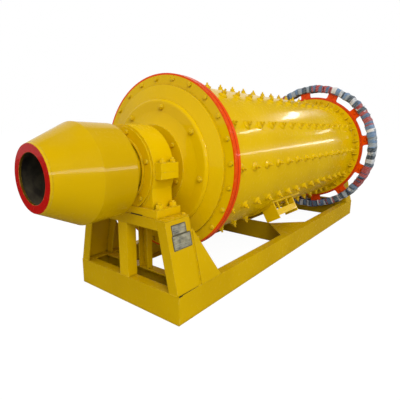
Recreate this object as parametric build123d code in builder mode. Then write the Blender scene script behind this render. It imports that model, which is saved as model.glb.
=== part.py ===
"""Ball mill on a welded base: a feed drum, a lined barrel and a girth gear on two trunnion bearings.

Millimetres. +X runs along the mill's axis from the feed end to the discharge end and +Z is up.
The origin is on the floor, under the middle of the mill's whole length.
"""

import os
from math import cos, degrees, hypot, radians, sin

from build123d import *

os.makedirs("parts", exist_ok=True)

# Fits between pieces
running_gap = 0.3
seat_gap = 0.3

# Base frame of channel section
feed_end_reach = 480.0
discharge_end_reach = 460.0
base_width = 1070.0
beam_height = 205.0
beam_flange = 75.0
beam_web = 9.0
beam_flange_thickness = 11.0
inner_channel_inset = 265.0
middle_plate_thickness = 18.0
gusset_run = 314.0
gusset_reach = 290.0

# Trestles that carry the bearings
drum_clearance = 173.0
bearing_height = 300.0
trestle_depth = 240.0
table_width = 830.0
table_web = 11.0
table_flange = 75.0
leg_inset = 7.0
leg_web = 11.0
leg_flange = 78.0
leg_flange_thickness = 11.0
post_width = 96.0
post_front_flange = 82.0
post_rear_flange = 52.0
post_wall = 9.0
brace_run = 228.0
brace_height = 393.0
brace_thickness = 11.0

# Trunnion bearings
journal_radius = 200.0
liner_wall = 25.0
bearing_plate_width = 690.0
bearing_plate_depth = 228.0
bearing_plate_thickness = 55.0
cap_radius = 305.0
cap_width = 190.0
ear_span = 716.0
ear_width = 164.0
ear_above_axis = 60.0
ear_below_axis = 46.0
pedestal_top_width = 612.0
pedestal_waist_width = 566.0
pedestal_foot_width = 590.0
pedestal_depth = 186.0
cover_radius = 292.0
cover_thickness = 12.0
cover_lip_radius = 228.0
cover_lip_wall = 12.0
cover_lip_height = 10.0
journal_clearance = 8.0

# Barrel
barrel_bore = 1200.0
barrel_wall = 12.0
barrel_length = 3000.0
barrel_liner_thickness = 50.0
flange_width = 63.0
discharge_flange_width = 87.0
flange_thickness = 33.0
rib_count = 24
rib_phase = 4.5
rib_thickness = 12.0
rib_length = 70.0
rib_height = 60.0
rib_toe = 6.0

# Liner bolts through the barrel
liner_bolt_rows = 12
liner_bolt_pitch = 200.0
liner_bolt_edge = 95.0
liner_washer_radius = 41.0
liner_washer_height = 16.0
liner_washer_taper = 42.0
liner_nut_radius = 18.5
liner_nut_height = 34.0

# Heads and trunnions
head_step_inset = 22.0
head_step_height = 21.0
head_wall = 36.0
head_cone_height = 26.0
trunnion_flange_radius = 490.0
trunnion_flange_thickness = 24.0
trunnion_ring_radius = 400.0
trunnion_spigot_radius = 330.0
trunnion_shoulder_radius = 305.0
trunnion_shoulder_reach = 36.0
trunnion_shoulder_width = 10.0
trunnion_flare_depth = 9.0
trunnion_bore_radius = 147.5

# Girth gear and its woven wrap
gear_module = 12.0
gear_teeth = 142
gear_face_width = 116.0
gear_rim_wall = 30.0
gear_web_thickness = 32.0
gear_rim_lead = 16.0
tooth_tip_share = 0.14
tooth_root_share = 0.38
gear_spoke_count = 12
gear_spoke_width = 128.0
gear_spoke_phase = 20.0
gear_window_depth = 84.0
gear_window_edge = 11.0
gear_window_corner = 24.0
wrap_thickness = 6.0
wrap_padding = 22.0
wrap_skirt = 34.0

# Feed drum
feed_drum_gap = 105.0
feed_drum_length = 507.0
feed_drum_cone = 256.0
feed_drum_mouth_radius = 197.0
feed_drum_shoulder_radius = 317.0
feed_drum_rear_radius = 309.0
feed_drum_wall = 8.0
feed_drum_back_wall = 16.0
mouth_ring_thickness = 14.0
trunnion_lip_radius = 245.0
trunnion_lip_thickness = 25.0

# Discharge mouth
discharge_mouth_reach = 90.0

# Manhole on the barrel, with a bracket along one side of it
manhole_angle = 150.0
manhole_x = -100.0
manhole_length = 360.0
manhole_width = 300.0
pad_width = 426.0
pad_thickness = 16.0
pad_start = -320.0
pad_end = 311.0
door_margin = 14.0
door_thickness = 16.0
bracket_start = -314.0
bracket_end = 115.0
bracket_height = 134.0
lug_width = 146.0
lug_thickness = 16.0
bar_width = 59.0
bar_drop = 26.0
bracket_post_width = 20.0
bracket_posts = (-230.0, -32.0)

# Sizes that follow from the ones above
base_length = feed_end_reach + barrel_length + discharge_end_reach
overall_length = feed_drum_length + feed_drum_gap + base_length + discharge_mouth_reach
drum_mouth = -overall_length / 2
drum_back = drum_mouth + feed_drum_length
feed_end = drum_back + feed_drum_gap
discharge_end = feed_end + base_length
base_centre = (feed_end + discharge_end) / 2
feed_bearing_x = feed_end + trestle_depth / 2
discharge_bearing_x = discharge_end - trestle_depth / 2
barrel_radius = barrel_bore / 2
shell_radius = barrel_radius + barrel_wall
axis_height = beam_height + drum_clearance + shell_radius
table_top = axis_height - bearing_height
flange_radius = shell_radius + flange_width
barrel_start = feed_end + feed_end_reach
barrel_end = barrel_start + barrel_length
feed_shell_face = barrel_start - flange_thickness
gear_web_start = barrel_end + flange_thickness
discharge_head_face = gear_web_start + gear_web_thickness
foot_half_width = base_width / 2 - leg_inset
gear_tip_radius = gear_module * (gear_teeth + 2) / 2
gear_root_radius = gear_module * (gear_teeth - 2.5) / 2
gear_rim_inner_radius = gear_root_radius - gear_rim_wall
gear_rim_start = gear_web_start - gear_rim_lead

drum_axis = Axis((0, 0, axis_height), (1, 0, 0))


def drum_plane(x):
    """Plane square to the mill's axis at x, with its sketch X along world Y and sketch Y along world Z."""
    return Plane(origin=(x, 0, axis_height), x_dir=(0, 1, 0), z_dir=(1, 0, 0))


def profile_plane():
    """Plane through the mill's axis: sketch X is the place along the mill, sketch Y the radius."""
    return Plane(origin=(0, 0, axis_height), x_dir=(1, 0, 0), z_dir=(0, -1, 0))


def leg_outer(height):
    """Half width of the trestle over its legs' outer faces at a height above the floor."""
    share = (height - beam_height) / (table_top - beam_height)
    return foot_half_width + share * (table_width / 2 - foot_half_width)


leg_slope = (foot_half_width - table_width / 2) / (table_top - beam_height)
leg_cosine = 1 / hypot(1, leg_slope)


def leg_inner(height, depth):
    """Half width inside the leg at a height, for a piece that reaches depth in from the outer face."""
    return leg_outer(height) - depth / leg_cosine


def write(piece, name):
    """Label a finished piece and write it as its own file."""
    piece.label = name
    export_step(piece, f"parts/{name}.step")


# Side beams: channels with their webs outward
for side, hand in (("right", -1), ("left", 1)):
    with BuildPart() as side_beam:
        with BuildSketch(Plane.YZ.offset(feed_end + beam_web)):
            with Locations((hand * (base_width - beam_flange) / 2, beam_height / 2)):
                Rectangle(beam_flange, beam_height)
            with Locations((hand * (base_width - beam_flange - beam_web * 2) / 2, beam_height / 2)):
                Rectangle(beam_flange, beam_height - 2 * beam_flange_thickness, mode=Mode.SUBTRACT)
        extrude(amount=base_length - 2 * beam_web)
    write(side_beam.part, f"side_beam_{side}")

toe_to_toe = base_width - 2 * beam_flange
between_webs = base_width - 2 * beam_web
coped_height = beam_height - 2 * beam_flange_thickness

# Cross channels: the end ones close the corners, the inner ones are coped into the side beams
for end, face, inward in (("feed", feed_end, 1), ("discharge", discharge_end, -1)):
    with BuildPart() as end_channel:
        with BuildSketch(Plane.YZ.offset(face)):
            with Locations((0, beam_height / 2)):
                Rectangle(base_width, beam_height)
        extrude(amount=inward * beam_web)
        with BuildSketch(Plane.YZ.offset(face + inward * beam_web)):
            with Locations((0, beam_flange_thickness / 2), (0, beam_height - beam_flange_thickness / 2)):
                Rectangle(toe_to_toe, beam_flange_thickness)
        extrude(amount=inward * (beam_flange - beam_web))
    write(end_channel.part, f"{end}_end_channel")

    web_face = face + inward * inner_channel_inset
    with BuildPart() as inner_channel:
        with BuildSketch(Plane.YZ.offset(web_face)):
            with Locations((0, beam_height / 2)):
                Rectangle(toe_to_toe, beam_height)
                Rectangle(between_webs, coped_height)
        extrude(amount=-inward * beam_web)
        with BuildSketch(Plane.YZ.offset(web_face - inward * beam_web)):
            with Locations((0, beam_flange_thickness / 2), (0, beam_height - beam_flange_thickness / 2)):
                Rectangle(toe_to_toe, beam_flange_thickness)
        extrude(amount=-inward * (beam_flange - beam_web))
    write(inner_channel.part, f"{end}_inner_channel")

# Middle cross plate, coped like the inner channels, with corner gussets flush with its top
with BuildPart() as middle_plate:
    with BuildSketch(Plane.YZ.offset(base_centre - middle_plate_thickness / 2)):
        with Locations((0, beam_height / 2)):
            Rectangle(toe_to_toe, beam_height)
            Rectangle(between_webs, coped_height)
    extrude(amount=middle_plate_thickness)
write(middle_plate.part, "middle_cross_plate")

for place, away in (("feed", -1), ("discharge", 1)):
    corner_x = base_centre + away * middle_plate_thickness / 2
    with BuildPart() as gussets:
        with BuildSketch(Plane.XY.offset(beam_height - beam_flange_thickness)):
            for hand in (-1, 1):
                with BuildLine():
                    Polyline(
                        (corner_x, hand * toe_to_toe / 2),
                        (corner_x + away * gusset_run, hand * toe_to_toe / 2),
                        (corner_x, hand * (toe_to_toe / 2 - gusset_reach)),
                        close=True,
                    )
                make_face()
        extrude(amount=beam_flange_thickness)
    write(gussets.part, f"middle_gussets_{place}_side")


def leg_strip(hand, low, high, depth):
    """Corners of a leaning leg's strip between two heights, from its outer face to a depth inside it."""
    return (
        (hand * leg_outer(low), low),
        (hand * leg_outer(high), high),
        (hand * leg_inner(high, depth), high),
        (hand * leg_inner(low, depth), low),
    )


# Trestles: leaning channel legs, a channel table and a post of two channels between the legs
leg_top = table_top - table_web
for end, face, inward in (("feed", feed_end, 1), ("discharge", discharge_end, -1)):
    for side, hand in (("right", -1), ("left", 1)):
        with BuildPart() as leg:
            with BuildSketch(Plane.YZ.offset(face)):
                with BuildLine():
                    Polyline(*leg_strip(hand, beam_height, leg_top, leg_web), close=True)
                make_face()
            extrude(amount=inward * trestle_depth)
            for flange_face in (face, face + inward * (trestle_depth - leg_flange_thickness)):
                with BuildSketch(Plane.YZ.offset(flange_face)):
                    with BuildLine():
                        Polyline(*leg_strip(hand, beam_height, leg_top, leg_flange), close=True)
                    make_face()
                extrude(amount=inward * leg_flange_thickness)
        write(leg.part, f"{end}_leg_{side}")

    with BuildPart() as table:
        with BuildSketch(Plane.XY.offset(leg_top)):
            with Locations((face + inward * trestle_depth / 2, 0)):
                Rectangle(trestle_depth, table_width)
        extrude(amount=table_web)
        for flange_face in (face, face + inward * (trestle_depth - leg_flange_thickness)):
            with BuildSketch(Plane.YZ.offset(flange_face)):
                low = table_top - table_flange
                with BuildLine():
                    Polyline(
                        (-leg_inner(low, leg_flange), low),
                        (leg_inner(low, leg_flange), low),
                        (leg_inner(leg_top, leg_flange), leg_top),
                        (-leg_inner(leg_top, leg_flange), leg_top),
                        close=True,
                    )
                make_face()
            extrude(amount=inward * leg_flange_thickness)
    write(table.part, f"{end}_table")

    post_height = table_top - table_flange - beam_height
    with BuildPart() as post:
        for channel_face, reach, into in (
            (face, post_front_flange, inward),
            (face + inward * trestle_depth, post_rear_flange, -inward),
        ):
            with BuildSketch(Plane.XY.offset(beam_height)):
                with Locations((channel_face + into * reach / 2, 0)):
                    Rectangle(reach, post_width)
                with Locations((channel_face + into * (reach / 2 + post_wall), 0)):
                    Rectangle(reach, post_width - 2 * post_wall, mode=Mode.SUBTRACT)
            extrude(amount=post_height)
    write(post.part, f"{end}_centre_post")

# Braces behind the feed end's legs: the girth gear leaves no room for them at the discharge end
brace_back = feed_end + trestle_depth
for side, hand in (("right", -1), ("left", 1)):
    with BuildPart() as brace:
        foot = Vector(brace_back, hand * leg_outer(beam_height), beam_height)
        toe = foot + Vector(brace_run, 0, 0)
        tip_height = beam_height + brace_height
        tip = Vector(brace_back, hand * leg_outer(tip_height), tip_height)
        slope = Plane(origin=foot, x_dir=toe - foot, z_dir=(toe - foot).cross(tip - foot))
        with BuildSketch(slope):
            with BuildLine():
                Polyline(*(slope.to_local_coords(corner) for corner in (foot, toe, tip)), close=True)
            make_face()
        extrude(amount=brace_thickness if hand < 0 else -brace_thickness)
        split(bisect_by=Plane.XY.offset(beam_height), keep=Keep.TOP)
    write(brace.part, f"feed_brace_{side}")

# Trunnion bearings: a pedestal with a split bore, its cap, a liner and a dust cover on each face
liner_outer_radius = journal_radius + running_gap + liner_wall
bore_radius = liner_outer_radius + seat_gap
plate_top = table_top + bearing_plate_thickness
for end, centre in (("feed", feed_bearing_x), ("discharge", discharge_bearing_x)):
    with BuildPart() as pedestal:
        with BuildSketch(Plane.XY.offset(table_top)):
            with Locations((centre, 0)):
                Rectangle(bearing_plate_depth, bearing_plate_width)
        extrude(amount=bearing_plate_thickness)
        with BuildSketch(Plane.YZ.offset(centre - pedestal_depth / 2)):
            waist_height = (plate_top + axis_height) / 2
            with BuildLine():
                top_right = (pedestal_top_width / 2, axis_height)
                foot_right = (pedestal_foot_width / 2, plate_top)
                top_left = (-pedestal_top_width / 2, axis_height)
                foot_left = (-pedestal_foot_width / 2, plate_top)
                ThreePointArc(top_right, (pedestal_waist_width / 2, waist_height), foot_right)
                Line(foot_right, foot_left)
                ThreePointArc(foot_left, (-pedestal_waist_width / 2, waist_height), top_left)
                Line(top_left, top_right)
            make_face()
        extrude(amount=pedestal_depth)
        with BuildSketch(drum_plane(centre - cap_width / 2)):
            Circle(cap_radius)
        extrude(amount=cap_width)
        with BuildSketch(Plane.YZ.offset(centre - ear_width / 2)):
            with Locations((0, axis_height - ear_below_axis / 2)):
                Rectangle(ear_span, ear_below_axis)
        extrude(amount=ear_width)
        split(bisect_by=Plane.XY.offset(axis_height), keep=Keep.BOTTOM)
        split(bisect_by=Plane.XY.offset(table_top), keep=Keep.TOP)
        with BuildSketch(drum_plane(centre - cap_width)):
            Circle(bore_radius)
        extrude(amount=2 * cap_width, mode=Mode.SUBTRACT)
    write(pedestal.part, f"{end}_bearing_pedestal")

    with BuildPart() as cap:
        with BuildSketch(drum_plane(centre - cap_width / 2)):
            Circle(cap_radius)
        extrude(amount=cap_width)
        with BuildSketch(Plane.YZ.offset(centre - ear_width / 2)):
            with Locations((0, axis_height + ear_above_axis / 2)):
                Rectangle(ear_span, ear_above_axis)
        extrude(amount=ear_width)
        split(bisect_by=Plane.XY.offset(axis_height), keep=Keep.TOP)
        with BuildSketch(drum_plane(centre - cap_width)):
            Circle(bore_radius)
        extrude(amount=2 * cap_width, mode=Mode.SUBTRACT)
    write(cap.part, f"{end}_bearing_cap")

    with BuildPart() as liner:
        with BuildSketch(drum_plane(centre - cap_width / 2)):
            Circle(liner_outer_radius)
            Circle(journal_radius + running_gap, mode=Mode.SUBTRACT)
        extrude(amount=cap_width)
    write(liner.part, f"{end}_bearing_liner")

    for place, away in (("outer", -1 if end == "feed" else 1), ("inner", 1 if end == "feed" else -1)):
        cover_face = centre + away * cap_width / 2
        with BuildPart() as cover:
            with BuildSketch(drum_plane(cover_face)):
                Circle(cover_radius)
                Circle(journal_radius + journal_clearance, mode=Mode.SUBTRACT)
            extrude(amount=away * cover_thickness)
            with BuildSketch(drum_plane(cover_face + away * cover_thickness)):
                Circle(cover_lip_radius)
                Circle(cover_lip_radius - cover_lip_wall, mode=Mode.SUBTRACT)
            extrude(amount=away * cover_lip_height)
            with BuildSketch(Plane.XY.offset(plate_top)):
                with Locations((cover_face, 0)):
                    Rectangle(4 * cover_thickness, bearing_plate_width)
            extrude(amount=-bearing_plate_thickness, mode=Mode.SUBTRACT)
        write(cover.part, f"{end}_bearing_{place}_cover")

# Feed drum: two cones back to back, a plate that bolts it to the trunnion and a ring round the mouth
with BuildPart() as feed_drum:
    with BuildSketch(profile_plane()):
        mouth_start = drum_mouth + mouth_ring_thickness
        cone_rise = (feed_drum_shoulder_radius - feed_drum_mouth_radius) / feed_drum_cone
        ring_seat_radius = feed_drum_mouth_radius + cone_rise * mouth_ring_thickness
        cone_wall = feed_drum_wall * hypot(1, cone_rise)
        shoulder = drum_mouth + feed_drum_cone
        with BuildLine():
            Polyline(
                (mouth_start, ring_seat_radius),
                (shoulder, feed_drum_shoulder_radius),
                (drum_back, feed_drum_rear_radius),
                (drum_back, feed_drum_rear_radius - feed_drum_wall),
                (shoulder, feed_drum_shoulder_radius - cone_wall),
                (mouth_start, ring_seat_radius - cone_wall),
                close=True,
            )
        make_face()
    revolve(axis=drum_axis)
write(feed_drum.part, "feed_drum")

with BuildPart() as back_plate:
    with BuildSketch(drum_plane(drum_back - feed_drum_back_wall)):
        Circle(feed_drum_rear_radius - feed_drum_wall - seat_gap)
        Circle(trunnion_bore_radius, mode=Mode.SUBTRACT)
    extrude(amount=feed_drum_back_wall)
write(back_plate.part, "feed_drum_back_plate")

with BuildPart() as mouth_ring:
    with BuildSketch(profile_plane()):
        with BuildLine():
            Polyline(
                (drum_mouth, trunnion_bore_radius),
                (drum_mouth, feed_drum_mouth_radius),
                (mouth_start, ring_seat_radius),
                (mouth_start, trunnion_bore_radius),
                close=True,
            )
        make_face()
    revolve(axis=drum_axis)
write(mouth_ring.part, "feed_mouth_ring")


def head_outline(face, outward):
    """Half section of a dished head that bolts to a face and bulges outward from the barrel."""
    front = face + outward * flange_thickness
    step = front + outward * head_step_height
    step_radius = shell_radius - head_step_inset
    crown = step + outward * head_cone_height
    return (
        (face, flange_radius),
        (front, flange_radius),
        (front, step_radius),
        (step, step_radius),
        (crown, trunnion_flange_radius),
        (crown, trunnion_spigot_radius),
        (crown - outward * head_wall, trunnion_spigot_radius),
        (step - outward * head_wall, barrel_radius - head_wall),
        (face, barrel_radius - head_wall / 2),
    )


# Heads and trunnions: each trunnion's flange bolts to its head's crown and its journal runs in the bearing
for end, face, outward, journal_end in (
    ("feed", feed_shell_face, -1, drum_back),
    ("discharge", discharge_head_face, 1, discharge_end + discharge_mouth_reach),
):
    with BuildPart() as head:
        with BuildSketch(profile_plane()):
            with BuildLine():
                Polyline(*head_outline(face, outward), close=True)
            make_face()
        revolve(axis=drum_axis)
    write(head.part, f"{end}_head")

    crown = face + outward * (flange_thickness + head_step_height + head_cone_height)
    flange_front = crown + outward * trunnion_flange_thickness
    shoulder_front = flange_front + outward * trunnion_shoulder_reach
    shoulder_back = shoulder_front - outward * trunnion_shoulder_width
    flare_middle = (trunnion_ring_radius + trunnion_shoulder_radius) / 2
    spigot_back = crown - outward * head_wall
    rounding = trunnion_flange_thickness
    with BuildPart() as trunnion:
        with BuildSketch(profile_plane()):
            with BuildLine():
                ThreePointArc(
                    (flange_front, trunnion_ring_radius),
                    (flange_front + outward * trunnion_flare_depth, flare_middle),
                    (shoulder_back, trunnion_shoulder_radius),
                )
                Polyline(
                    (shoulder_back, trunnion_shoulder_radius),
                    (shoulder_front, trunnion_shoulder_radius),
                    (shoulder_front, journal_radius),
                    (journal_end, journal_radius),
                    (journal_end, trunnion_bore_radius),
                    (spigot_back, trunnion_bore_radius),
                    (spigot_back, trunnion_spigot_radius - seat_gap),
                    (crown, trunnion_spigot_radius - seat_gap),
                    (crown, trunnion_flange_radius),
                )
                ThreePointArc(
                    (flange_front - outward * rounding, trunnion_flange_radius),
                    (
                        flange_front - outward * rounding * (1 - cos(radians(45))),
                        trunnion_flange_radius - rounding * (1 - sin(radians(45))),
                    ),
                    (flange_front, trunnion_flange_radius - rounding),
                )
                Line(
                    (flange_front, trunnion_flange_radius - rounding),
                    (flange_front, trunnion_ring_radius),
                )
            make_face()
        revolve(axis=drum_axis)
        if end == "feed":
            with BuildSketch(drum_plane(drum_back)):
                Circle(trunnion_lip_radius)
                Circle(journal_radius, mode=Mode.SUBTRACT)
            extrude(amount=trunnion_lip_thickness)
    write(trunnion.part, f"{end}_trunnion")

# Barrel with its end flanges
manhole_turn = radians(manhole_angle)
manhole_out = (0, -sin(manhole_turn), cos(manhole_turn))


def manhole_plane(reach):
    """Plane square to the manhole's outward direction, at a reach from the mill's axis."""
    return Plane(
        origin=(manhole_x, reach * manhole_out[1], axis_height + reach * manhole_out[2]),
        x_dir=(1, 0, 0),
        z_dir=manhole_out,
    )


def bolt_meets_pad(x, angle):
    """Whether a liner bolt at x along the mill, at an angle from the top, would meet the manhole's pad."""
    off = abs((angle - manhole_angle + 180) % 360 - 180)
    beside = off > degrees((pad_width / 2 + liner_washer_radius) / shell_radius)
    return not beside and pad_start - liner_washer_radius < x < pad_end + liner_washer_radius


# One liner bolt's dished washer and nut at the top of the shell, rooted in the middle of its wall
bolt_root = barrel_wall / 2
bolt_seat = Plane.XY.offset(axis_height + shell_radius - bolt_root)
with BuildPart() as liner_bolt:
    with BuildSketch(bolt_seat):
        RegularPolygon(liner_washer_radius, 6)
    extrude(amount=bolt_root + liner_washer_height, taper=liner_washer_taper)
    with BuildSketch(bolt_seat):
        RegularPolygon(liner_nut_radius, 6)
    extrude(amount=bolt_root + liner_nut_height)

liner_bolt_count = int((barrel_length - 2 * liner_bolt_edge) / liner_bolt_pitch) + 1
liner_bolt_start = barrel_start + (barrel_length - (liner_bolt_count - 1) * liner_bolt_pitch) / 2
bolts = []
for row in range(liner_bolt_rows):
    angle = row * 360 / liner_bolt_rows
    turned = liner_bolt.part.rotate(drum_axis, angle)
    for number in range(liner_bolt_count):
        x = liner_bolt_start + number * liner_bolt_pitch
        if not bolt_meets_pad(x, angle):
            bolts.append(turned.translate((x, 0, 0)))

with BuildPart() as shell:
    with BuildSketch(drum_plane(feed_shell_face)):
        Circle(shell_radius)
        Circle(barrel_radius, mode=Mode.SUBTRACT)
    extrude(amount=barrel_length + 2 * flange_thickness)
    with BuildSketch(manhole_plane(0)):
        Rectangle(manhole_length, manhole_width)
    extrude(amount=shell_radius, mode=Mode.SUBTRACT)
    add(bolts)
write(shell.part, "barrel_shell")

with BuildPart() as barrel_liner:
    with BuildSketch(drum_plane(barrel_start)):
        Circle(barrel_radius - seat_gap)
        Circle(barrel_radius - barrel_liner_thickness, mode=Mode.SUBTRACT)
    extrude(amount=barrel_length)
    with BuildSketch(manhole_plane(0)):
        Rectangle(manhole_length, manhole_width)
    extrude(amount=barrel_radius, mode=Mode.SUBTRACT)
write(barrel_liner.part, "barrel_liner")

with BuildPart() as feed_flange:
    with BuildSketch(drum_plane(feed_shell_face)):
        Circle(flange_radius)
        Circle(shell_radius + seat_gap, mode=Mode.SUBTRACT)
    extrude(amount=flange_thickness)
write(feed_flange.part, "feed_shell_flange")

# The discharge flange carries the gear and is stiffened by ribs on the shell's side
with BuildPart() as rib:
    with BuildSketch(profile_plane().offset(-rib_thickness / 2)):
        with BuildLine():
            Polyline(
                (barrel_end, barrel_radius),
                (barrel_end, shell_radius + rib_height),
                (barrel_end - rib_length, shell_radius + rib_toe),
                (barrel_end - rib_length, barrel_radius),
                close=True,
            )
        make_face()
    extrude(amount=rib_thickness)

with BuildPart() as discharge_flange:
    with BuildSketch(drum_plane(barrel_end)):
        Circle(shell_radius + discharge_flange_width)
    extrude(amount=flange_thickness)
    for number in range(rib_count):
        add(rib.part.rotate(drum_axis, rib_phase + number * 360 / rib_count))
    with BuildSketch(drum_plane(barrel_end - rib_length)):
        Circle(shell_radius + seat_gap)
    extrude(amount=rib_length + flange_thickness, mode=Mode.SUBTRACT)
write(discharge_flange.part, "discharge_shell_flange")

# Manhole: a curved pad on the shell round the opening and a curved door on the pad
pad_seat = shell_radius + seat_gap
pad_radius = pad_seat + pad_thickness
door_seat = pad_radius + seat_gap
pad_middle = (pad_start + pad_end) / 2 - manhole_x
with BuildPart() as manhole_collar:
    with BuildSketch(drum_plane(pad_start)):
        Circle(pad_radius)
        Circle(pad_seat, mode=Mode.SUBTRACT)
    extrude(amount=pad_end - pad_start)
    with BuildSketch(manhole_plane(0)):
        with Locations((pad_middle, 0)):
            Rectangle(pad_end - pad_start, pad_width)
        Rectangle(manhole_length, manhole_width, mode=Mode.SUBTRACT)
    extrude(amount=2 * shell_radius, mode=Mode.INTERSECT)
write(manhole_collar.part, "manhole_collar")

with BuildPart() as manhole_cover:
    with BuildSketch(drum_plane(manhole_x - manhole_length / 2 - door_margin)):
        Circle(door_seat + door_thickness)
        Circle(door_seat, mode=Mode.SUBTRACT)
    extrude(amount=manhole_length + 2 * door_margin)
    with BuildSketch(manhole_plane(0)):
        Rectangle(manhole_length + 2 * door_margin, manhole_width + 2 * door_margin)
    extrude(amount=2 * shell_radius, mode=Mode.INTERSECT)
write(manhole_cover.part, "manhole_cover")

# Bracket beside the door: two lugs across the mill, a bar between them and two short posts under the bar
bracket_top = shell_radius + bracket_height
bar_foot = bracket_top - bar_drop - bar_width
bracket_side = (pad_width - lug_thickness) / 2
with BuildPart() as manhole_bracket:
    with BuildSketch(manhole_plane(0)):
        for lug_x in (bracket_start + lug_thickness / 2, bracket_end - lug_thickness / 2):
            with Locations((lug_x - manhole_x, (pad_width - lug_width) / 2)):
                Rectangle(lug_thickness, lug_width)
    extrude(amount=bracket_top)
    with BuildSketch(manhole_plane(0)):
        for post_x in bracket_posts:
            with Locations((post_x - manhole_x, bracket_side)):
                Rectangle(bracket_post_width, lug_thickness)
    extrude(amount=bar_foot)
    with BuildSketch(manhole_plane(bar_foot)):
        with Locations(((bracket_start + bracket_end) / 2 - manhole_x, bracket_side)):
            Rectangle(bracket_end - bracket_start, lug_thickness)
    extrude(amount=bar_width)
    with BuildSketch(drum_plane(bracket_start)):
        Circle(pad_radius + seat_gap)
    extrude(amount=bracket_end - bracket_start, mode=Mode.SUBTRACT)
write(manhole_bracket.part, "manhole_bracket")

# Girth gear and its wrap
def gear_outline():
    """Corners of the gear's toothed outline in the plane square to the mill's axis, tooth by tooth."""
    corners = []
    for tooth in range(gear_teeth):
        for share, radius in (
            (-tooth_root_share, gear_root_radius),
            (-tooth_tip_share, gear_tip_radius),
            (tooth_tip_share, gear_tip_radius),
            (tooth_root_share, gear_root_radius),
        ):
            turn = radians((tooth + share) * 360 / gear_teeth)
            corners.append((radius * cos(turn), radius * sin(turn)))
    return corners


window_outer_radius = gear_rim_inner_radius - gear_window_edge
with BuildPart() as gear:
    with BuildSketch(drum_plane(gear_rim_start)):
        with BuildLine():
            Polyline(*gear_outline(), close=True)
        make_face()
        Circle(gear_rim_inner_radius, mode=Mode.SUBTRACT)
    extrude(amount=gear_face_width)
    with BuildSketch(drum_plane(gear_web_start)):
        Circle(gear_rim_inner_radius)
        Circle(barrel_radius, mode=Mode.SUBTRACT)
    extrude(amount=gear_web_thickness)
    with BuildSketch(drum_plane(gear_web_start)) as windows:
        Circle(window_outer_radius)
        Circle(window_outer_radius - gear_window_depth, mode=Mode.SUBTRACT)
        with PolarLocations(window_outer_radius - gear_window_depth / 2, gear_spoke_count, gear_spoke_phase):
            Rectangle(2 * gear_window_depth, gear_spoke_width, mode=Mode.SUBTRACT)
        fillet(windows.vertices(), gear_window_corner)
    extrude(amount=gear_web_thickness, mode=Mode.SUBTRACT)
write(gear.part, "girth_gear")

wrap_start = gear_rim_start - seat_gap
wrap_end = gear_rim_start + gear_face_width + seat_gap
wrap_inner_radius = gear_rim_inner_radius - seat_gap
padding_radius = wrap_inner_radius - wrap_padding
with BuildPart() as wrap:
    with BuildSketch(profile_plane()):
        with BuildLine():
            Polyline(
                (wrap_start, padding_radius),
                (wrap_start - wrap_thickness, padding_radius),
                (wrap_start - wrap_thickness, gear_tip_radius + seat_gap + wrap_thickness),
                (wrap_end + wrap_thickness, gear_tip_radius + seat_gap + wrap_thickness),
                (wrap_end + wrap_thickness, padding_radius),
                (wrap_end - wrap_skirt, padding_radius),
                (wrap_end - wrap_skirt, wrap_inner_radius),
                (wrap_end, wrap_inner_radius),
                (wrap_end, gear_tip_radius + seat_gap),
                (wrap_start, gear_tip_radius + seat_gap),
                close=True,
            )
        make_face()
    revolve(axis=drum_axis)
write(wrap.part, "gear_wrap")
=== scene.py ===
"""Looks of a ball mill: its enamel, fasteners, welds, plates and the woven strips wound round its gear.

Metres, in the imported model's frame: +X along the mill from its feed end, +Z up, the floor at zero.
"""

import logging
import math
from collections.abc import Sequence
from dataclasses import dataclass
from enum import Enum
from functools import cached_property

import bmesh
import bpy
from mathutils import Matrix, Vector


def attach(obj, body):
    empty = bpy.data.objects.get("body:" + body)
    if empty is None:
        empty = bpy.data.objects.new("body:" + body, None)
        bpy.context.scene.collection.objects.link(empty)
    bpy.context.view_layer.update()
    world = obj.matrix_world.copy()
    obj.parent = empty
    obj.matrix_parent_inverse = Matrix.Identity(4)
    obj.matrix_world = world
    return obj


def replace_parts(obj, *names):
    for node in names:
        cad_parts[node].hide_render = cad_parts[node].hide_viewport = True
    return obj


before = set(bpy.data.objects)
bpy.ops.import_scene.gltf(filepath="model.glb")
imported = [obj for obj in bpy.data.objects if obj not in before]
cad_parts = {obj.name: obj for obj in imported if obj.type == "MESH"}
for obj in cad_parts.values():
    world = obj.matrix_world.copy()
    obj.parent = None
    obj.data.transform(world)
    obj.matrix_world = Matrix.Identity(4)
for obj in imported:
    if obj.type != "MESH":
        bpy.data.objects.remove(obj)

log = logging.getLogger("ball_mill")

MM = 0.001
AXIS_HEIGHT = 0.99
WHITE = (1.0, 1.0, 1.0, 1.0)
Profile = Sequence[tuple[float, float]]
Point = tuple[float, float, float]
Run = tuple[Point, ...]
Socket = bpy.types.NodeSocket
Fed = Socket | float | Sequence[float]


class Body(Enum):
    """The two bodies of the mill that a piece can ride on."""

    BASE = "root"
    DRUM = "drum"


class Slot(Enum):
    """The record's material slots."""

    YELLOW = "yellow_enamel"
    RED = "red_enamel"
    BRONZE = "bearing_bronze"
    LINER = "liner_steel"
    WRAP = "woven_wrap"


class Facing(Enum):
    """Where a fastener's head points."""

    UP = "up"
    OUT = "out from the axis"
    FEED = "to the feed end"
    DISCHARGE = "to the discharge end"

    def turn(self) -> Matrix:
        """Rotation of a fastener that is built pointing up; an outward one starts at the drum's top."""
        angle = {Facing.FEED: -90.0, Facing.DISCHARGE: 90.0}.get(self, 0.0)
        return Matrix.Rotation(math.radians(angle), 4, "Y")

    def spin_axis(self) -> Vector:
        """The fastener's own axis after that turn."""
        return Vector((1, 0, 0)) if self in (Facing.FEED, Facing.DISCHARGE) else Vector((0, 0, 1))


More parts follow.
